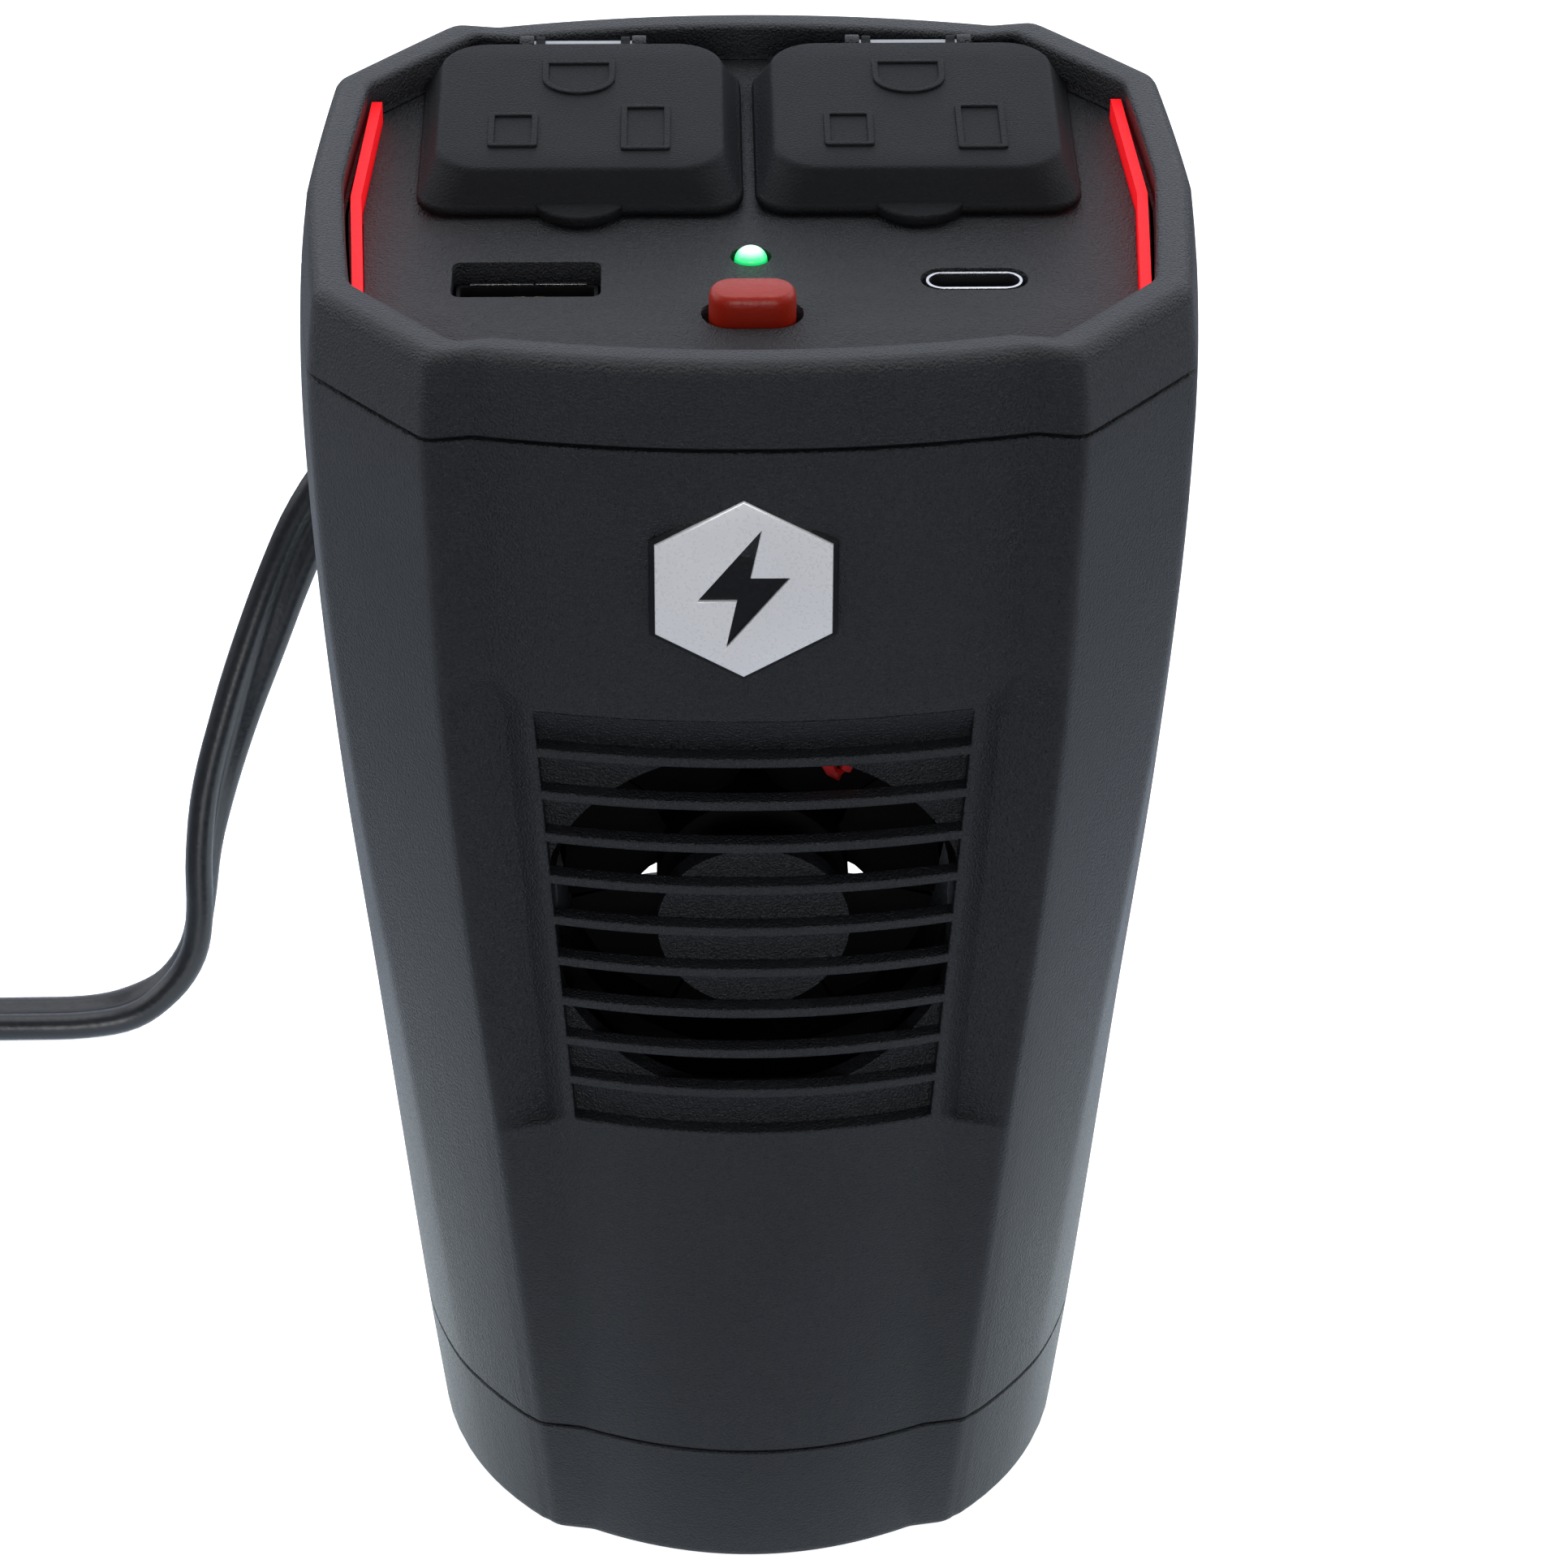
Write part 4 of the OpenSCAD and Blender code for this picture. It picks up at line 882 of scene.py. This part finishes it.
def make_cover(name, side):
    cx = side * OUTLET_X
    foot = PANEL_Z + 0.25
    y0, y1 = COVER_Y
    p0, p1 = PLATEAU_Y
    outside = [
        (30.0, y0 + 0.4, y1 - 0.4, 2.8, foot), (30.6, y0 + 0.1, y1 - 0.1, 3.1, foot + 0.12),
        (30.8, y0, y1, 3.2, foot + 0.4), (30.7, y0 + 0.05, y1 - 0.05, 3.2, foot + 0.75),
        (30.3, y0 + 0.25, y1 - 0.15, 3.1, foot + 0.95), (29.9, y0 + 0.45, y1 - 0.25, 3.1, foot + 1.05),
        (28.2, y0 + 1.25, y1 - 0.4, 4.0, foot + 2.7), (27.5, p0 - 0.35, p1 + 0.1, 4.6, COVER_TOP - 0.6),
        (27.2, p0 - 0.15, p1 + 0.03, 4.5, COVER_TOP - 0.28),
        (26.8, p0 + 0.08, p1 - 0.12, 4.4, COVER_TOP - 0.09),
        (26.3, p0 + 0.35, p1 - 0.32, 4.2, COVER_TOP), (18, p0 + 4, p1 - 4, 2.5, COVER_TOP),
    ]
    inside = [(18, p0 + 4, p1 - 4, 2.5, COVER_TOP - 1.3), (24.4, p0 + 1.3, p1 - 1.3, 3, COVER_TOP - 1.4),
              (27.3, y0 + 1.8, y1 - 1.6, 3.4, foot)]
    shell = loft([cover_ring(*ring, cx) for ring in outside + inside], loop=True)
    caps = [flat_plate([rounded_rectangle(18.4, p1 - p0 - 7.6, 2.5, cx, (p0 + p1) / 2)],
                       COVER_TOP - 1.3, COVER_TOP, 0.001)]
    knuckle = [(HINGE_Y + math.cos(a), HINGE_Z + math.sin(a)) for a in
               (math.radians(-120 + 240 * k / 14) for k in range(15))]
    arm = knuckle + [(26.2, HINGE_Z + 0.8), (26.2, HINGE_Z - 0.9)]
    arms = [prism_x(arm, x - 0.45, x + 0.45) for x in (cx - 4.15, cx + 4.15)]
    tab_turns = [math.radians(180 + 180 * k / 24) for k in range(25)]
    tab = [(cx + 4.45 * math.cos(a), 0.75 + 4.45 * math.sin(a)) for a in tab_turns]
    tab_plate = flat_plate([tab], foot, foot + 1.15, 0.3)
    marks = [raised_frame(4.7, 7.0, cx - 6.4, 8.7), raised_frame(4.7, 9.3, cx + 6.2, 9.15),
             raised_arch(cx - 0.3, 19.8, 3.5, 23.4)]
    piece(name + "_flap", [shell] + caps + marks + [tab_plate], COVER, body=name, smooth=40,
          replaces=(name,))
    piece(name + "_knuckles", arms, COVER, body=name, bevel=0.1, smooth=50)


def make_button():
    low, high = node_box("power_button")
    top = high.z

    def oval(w, d, z, r):
        return [(x, y, z) for x, y in rounded_rectangle(w, d, r, *BUTTON_AT, steps=10)]

    rings = [oval(w, d, z, d / 2 - 0.02) for w, d, z in (
        (8, 4.5, 136.2), (8, 4.5, top - 1.1), (7.93, 4.43, top - 0.72), (7.7, 4.2, top - 0.36),
        (7.35, 3.85, top - 0.12), (6.95, 3.45, top), (3, 0.6, top))]
    flange = [oval(11, 7.5, z, 3.7) for z in (135.3, 136.6)]
    stem = lathe([(low.z, 0), (low.z, 1.4), (135.5, 1.4), (135.5, 0)], (0, BUTTON_AT[1], 0), (0, 0, 1), 24)
    piece("button_cap", [loft(rings), loft(flange), stem], BUTTON, body="power_button", smooth=40,
          replaces=("power_button",))


USB_A = (13.1, 5.7)
USB_A_EDGE = 0.2
USB_A_FLOOR = 1
USB_C = (8.94, 3.26)
USB_C_EDGE = 0.3
USB_C_FLOOR = 4
USB_C_SUNK = 0.12


def make_usb_a():
    """The port's metal shell with its contacts: walls and floor with painted shade, plain steel only at the
    edge that shows.
    """
    low, high = node_box("usb_a_shell")
    x, y = (low.x + high.x) / 2, (low.y + high.y) / 2
    outer = rounded_rectangle(*USB_A, 0.6, x, y)
    inner = rounded_rectangle(USB_A[0] - 0.7, USB_A[1] - 0.7, 0.4, x, y)

    def bar(x0, x1, y0, y1, z0, z1):
        outline = [(x + x0, y + y0), (x + x1, y + y0), (x + x1, y + y1), (x + x0, y + y1)]
        return flat_plate([outline], z0, z1, 0.02)

    walls = flat_plate([outer, inner], low.z, high.z - USB_A_EDGE, 0.02)
    floor = flat_plate([inner], low.z, low.z + USB_A_FLOOR, 0.02)
    edges = [bar(x0, x1, 2.5, 2.85, high.z - USB_A_EDGE, high.z) for x0, x1 in ((-5.3, 0.55), (0.75, 5.5))]
    strips = [bar(c - 0.5, c + 0.5, -0.3, 0, low.z + 5, high.z - 0.4) for c in (-3.5, 3.5)]
    pads = [bar(x0, x1, -0.6, 0.5, high.z - 0.5, high.z - 0.15) for x0, x1 in ((-1.1, -0.1), (0.7, 1.6))]
    # The walls and floor carry painted shade; only the top edge is plain steel.
    piece("usb_a_can", [walls, floor], SHADE_PAINTED_STEEL, replaces=("usb_a_shell",))
    piece("usb_a_edge", edges, STEEL, replaces=("usb_a_shell",))
    piece("usb_a_pads", strips + pads, GOLD, replaces=("usb_a_contacts",))


def make_usb_c():
    """The port's metal shell: walls and floor with painted shade, plain steel only at the edge that shows."""
    low, high = node_box("usb_c_shell")
    x, y = (low.x + high.x) / 2, (low.y + high.y) / 2
    outer = rounded_rectangle(*USB_C, 1.62, x, y, 8)
    inner = rounded_rectangle(USB_C[0] - 0.6, USB_C[1] - 0.6, 1.32, x, y, 8)
    rim = PANEL_Z - USB_C_SUNK
    walls = flat_plate([outer, inner], low.z, rim - USB_C_EDGE, 0.02)
    floor = flat_plate([inner], low.z, low.z + USB_C_FLOOR, 0.02)
    edge = flat_plate([outer, inner], rim - USB_C_EDGE, rim, 0.05)
    # The walls and floor carry painted shade; only the top edge is plain steel.
    piece("usb_c_can", [walls, floor], SHADE_PAINTED_STEEL, replaces=("usb_c_shell",))
    piece("usb_c_edge", [edge], STEEL, replaces=("usb_c_shell",))


def make_led():
    """The status light's lens: a low dome on a short barrel."""
    low, high = node_box("status_led")
    x, y = (low.x + high.x) / 2, (low.y + high.y) / 2
    r, dome = 1.55, 1.4
    turns = [math.radians(90 * k / 10) for k in range(11)]
    profile = [(low.z, 0), (low.z, 1.85), (low.z + 0.9, 1.85), (low.z + 0.9, r)]
    profile += [(high.z - dome + dome * math.sin(a), r * math.cos(a)) for a in turns]
    lens = light_lens("green_lens", (x, y, high.z - 0.35))
    piece("led_lens", [lathe(profile, (x, y, 0), (0, 0, 1))], lens, replaces=("status_led",))


# ---- badge ----

BADGE_AT = (-1.0, 120.4)


def hexagon(r):
    turns = [math.radians(30 + 60 * k) for k in range(6)]
    return [(r * math.cos(a), r * math.sin(a)) for a in turns]


def make_badge():
    """A hexagonal emblem with a lightning bolt, in a black surround."""
    x, z = BADGE_AT
    upright = Matrix.Rotation(math.radians(90), 4, "X")
    lie_on_front = Matrix.Translation((x, front_y(0, z) + 0.35, z)) @ upright
    bolt = [(1.6, 6.2), (-4.2, -1.2), (-0.6, -1.2), (-1.6, -6.2), (4.2, 1.2), (0.6, 1.2)]
    surround = flat_plate([hexagon(9.9)], -0.6, 0.45, 0.15)
    plate = flat_plate([hexagon(9.3), bolt], 0.1, 0.85, 0.18)
    piece("badge_surround", [moved(surround, lie_on_front)], BLACK)
    piece("badge_emblem", [moved(plate, lie_on_front)], CHROME, replaces=("badge_plate",))


# ---- strain relief ----


def make_strain_relief():
    """A tapered boot with bending slots round its outer half."""
    profile = [(28.9, 0), (28.9, 5.4), (30.6, 5.4), (30.6, 4.1), (35.4, 4.1), (35.4, 5.9), (35.7, 6.2),
               (37.2, 6.2), (37.7, 5.8)]
    for k in range(7):
        s = 38.4 + 2.5 * k
        r = 5.75 - 0.19 * k
        profile += [(s, r), (s + 1.3, r - 0.08), (s + 1.5, r - 0.75), (s + 2.2, r - 0.8), (s + 2.4, r - 0.15)]
    profile += [(56.2, 4.4), (57.4, 4.25), (BOOT_END, 3.9), (BOOT_END, 0)]
    return piece("strain_relief_boot", [lathe(profile, (-14, 0, 84), (0, 1, 0), 40)], CORD, smooth=40,
                 replaces=("strain_relief",))


# ---- studio ----


def ramp_of(nodes, links, value, low, high, stops):
    """A colour ramp over a value from low to high; stops are (place, grey) pairs."""
    span = nodes.new("ShaderNodeMapRange")
    span.inputs["From Min"].default_value = low
    span.inputs["From Max"].default_value = high
    links.new(value, span.inputs["Value"])
    ramp = nodes.new("ShaderNodeValToRGB")
    elements = ramp.color_ramp.elements
    while len(elements) < len(stops):
        elements.new(0.5)
    for element, (place, grey) in zip(elements, stops):
        element.position = (place - low) / (high - low)
        element.color = [min(1, grey * share) for share in STUDIO_TINT] + [1]
    links.new(span.outputs["Result"], ramp.inputs["Fac"])
    return ramp.outputs["Color"]


def make_floor():
    """A pale floor: bright round the object and behind it, dimmer in front."""
    bpy.ops.mesh.primitive_plane_add(size=6, location=(0, 0, -0.0003))
    floor = bpy.context.object
    floor.name = "floor"
    mat = bpy.data.materials.new("pale_floor")
    mat.use_nodes = True
    nodes, links = mat.node_tree.nodes, mat.node_tree.links
    nodes.remove(nodes["Principled BSDF"])
    place = nodes.new("ShaderNodeTexCoord").outputs["Object"]
    split = nodes.new("ShaderNodeSeparateXYZ")
    links.new(place, split.inputs["Vector"])
    around = nodes.new("ShaderNodeVectorMath")
    around.operation = "LENGTH"
    links.new(place, around.inputs[0])
    near = ramp_of(nodes, links, around.outputs["Value"], 0, 0.6, FLOOR_AROUND)
    front = ramp_of(nodes, links, split.outputs["Y"], -0.4, 0.4, FLOOR_FRONT)
    both = nodes.new("ShaderNodeMix")
    both.data_type = "RGBA"
    both.blend_type = "MULTIPLY"
    both.inputs["Factor"].default_value = 1
    links.new(near, both.inputs[6])
    links.new(front, both.inputs[7])
    lit = nodes.new("ShaderNodeEmission")
    links.new(both.outputs[2], lit.inputs["Color"])
    lit.inputs["Strength"].default_value = FLOOR_STRENGTH
    seen = nodes.new("ShaderNodeEmission")
    seen.inputs["Color"].default_value = (1, 1, 1, 1)
    seen.inputs["Strength"].default_value = 0.86
    shade = nodes.new("ShaderNodeBsdfDiffuse")
    shade.inputs["Color"].default_value = (0.8, 0.8, 0.8, 1)
    plain = nodes.new("ShaderNodeAddShader")
    links.new(seen.outputs[0], plain.inputs[0])
    links.new(shade.outputs[0], plain.inputs[1])
    choose = nodes.new("ShaderNodeMixShader")
    links.new(nodes.new("ShaderNodeLightPath").outputs["Is Camera Ray"], choose.inputs["Fac"])
    links.new(lit.outputs[0], choose.inputs[1])
    links.new(plain.outputs[0], choose.inputs[2])
    links.new(choose.outputs[0], nodes["Material Output"].inputs["Surface"])
    floor.data.materials.append(mat)


# Brightness of the floor by distance from the object's foot (m) and from front to back (m)
FLOOR_AROUND = ((0.0, 1.0), (0.05, 1.0), (0.1, 0.62), (0.2, 0.38), (0.3, 0.16), (0.6, 0.1))
FLOOR_FRONT = ((-0.4, 0.2), (-0.2, 0.3), (-0.13, 0.44), (-0.09, 0.44), (-0.06, 0.26), (-0.04, 0.26),
               (0.0, 1.0), (0.4, 1.0))
FLOOR_STRENGTH = 1.8
# Brightness of the surroundings from front to back
WORLD_BACK = ((-1.0, 0.12), (-0.3, 0.13), (0.1, 0.2), (0.6, 0.68), (1.0, 0.78))
WORLD_STRENGTH = 1.6
STUDIO_TINT = (0.915, 0.97, 1.1)


def make_studio():
    make_floor()
    world = bpy.data.worlds.new("studio")
    bpy.context.scene.world = world
    world.use_nodes = True
    nodes, links = world.node_tree.nodes, world.node_tree.links
    split = nodes.new("ShaderNodeSeparateXYZ")
    links.new(nodes.new("ShaderNodeTexCoord").outputs["Generated"], split.inputs["Vector"])
    grey = ramp_of(nodes, links, split.outputs["Y"], -1, 1, WORLD_BACK)
    lit = nodes["Background"]
    links.new(grey, lit.inputs["Color"])
    lit.inputs["Strength"].default_value = WORLD_STRENGTH
    seen = nodes.new("ShaderNodeBackground")
    seen.inputs["Color"].default_value = (1, 1, 1, 1)
    choose = nodes.new("ShaderNodeMixShader")
    links.new(nodes.new("ShaderNodeLightPath").outputs["Is Camera Ray"], choose.inputs["Fac"])
    links.new(lit.outputs[0], choose.inputs[1])
    links.new(seen.outputs[0], choose.inputs[2])
    links.new(choose.outputs[0], nodes["World Output"].inputs["Surface"])
    for name, at, size, power in (
        ("left_light", (-0.9, 0.2, 0.6), 0.8, 3),
        ("right_light", (0.9, 0.2, 0.6), 0.8, 3),
        ("top_light", (0, 0.3, 1.1), 0.9, 4),
        ("front_light", (0, -1.0, 0.35), 0.5, 4.5),
    ):
        data = bpy.data.lights.new(name, "AREA")
        data.energy = power
        data.size = size
        lamp = bpy.data.objects.new(name, data)
        lamp.location = at
        lamp.rotation_euler = (Vector((0, 0, 0.1)) - Vector(at)).to_track_quat("-Z", "Y").to_euler()
        bpy.context.collection.objects.link(lamp)
    bpy.context.scene.view_settings.view_transform = "Standard"


make_camera()
finish_cad_nodes()
boot = make_strain_relief()
make_lead()
make_front_shell()
make_fan_rotor()
make_grille_lip()
make_rear_shell()
make_base_cap()
make_top_cap()
make_cover("cover_left", -1)
make_cover("cover_right", 1)
make_button()
make_led()
make_usb_a()
make_usb_c()
make_badge()
make_studio()
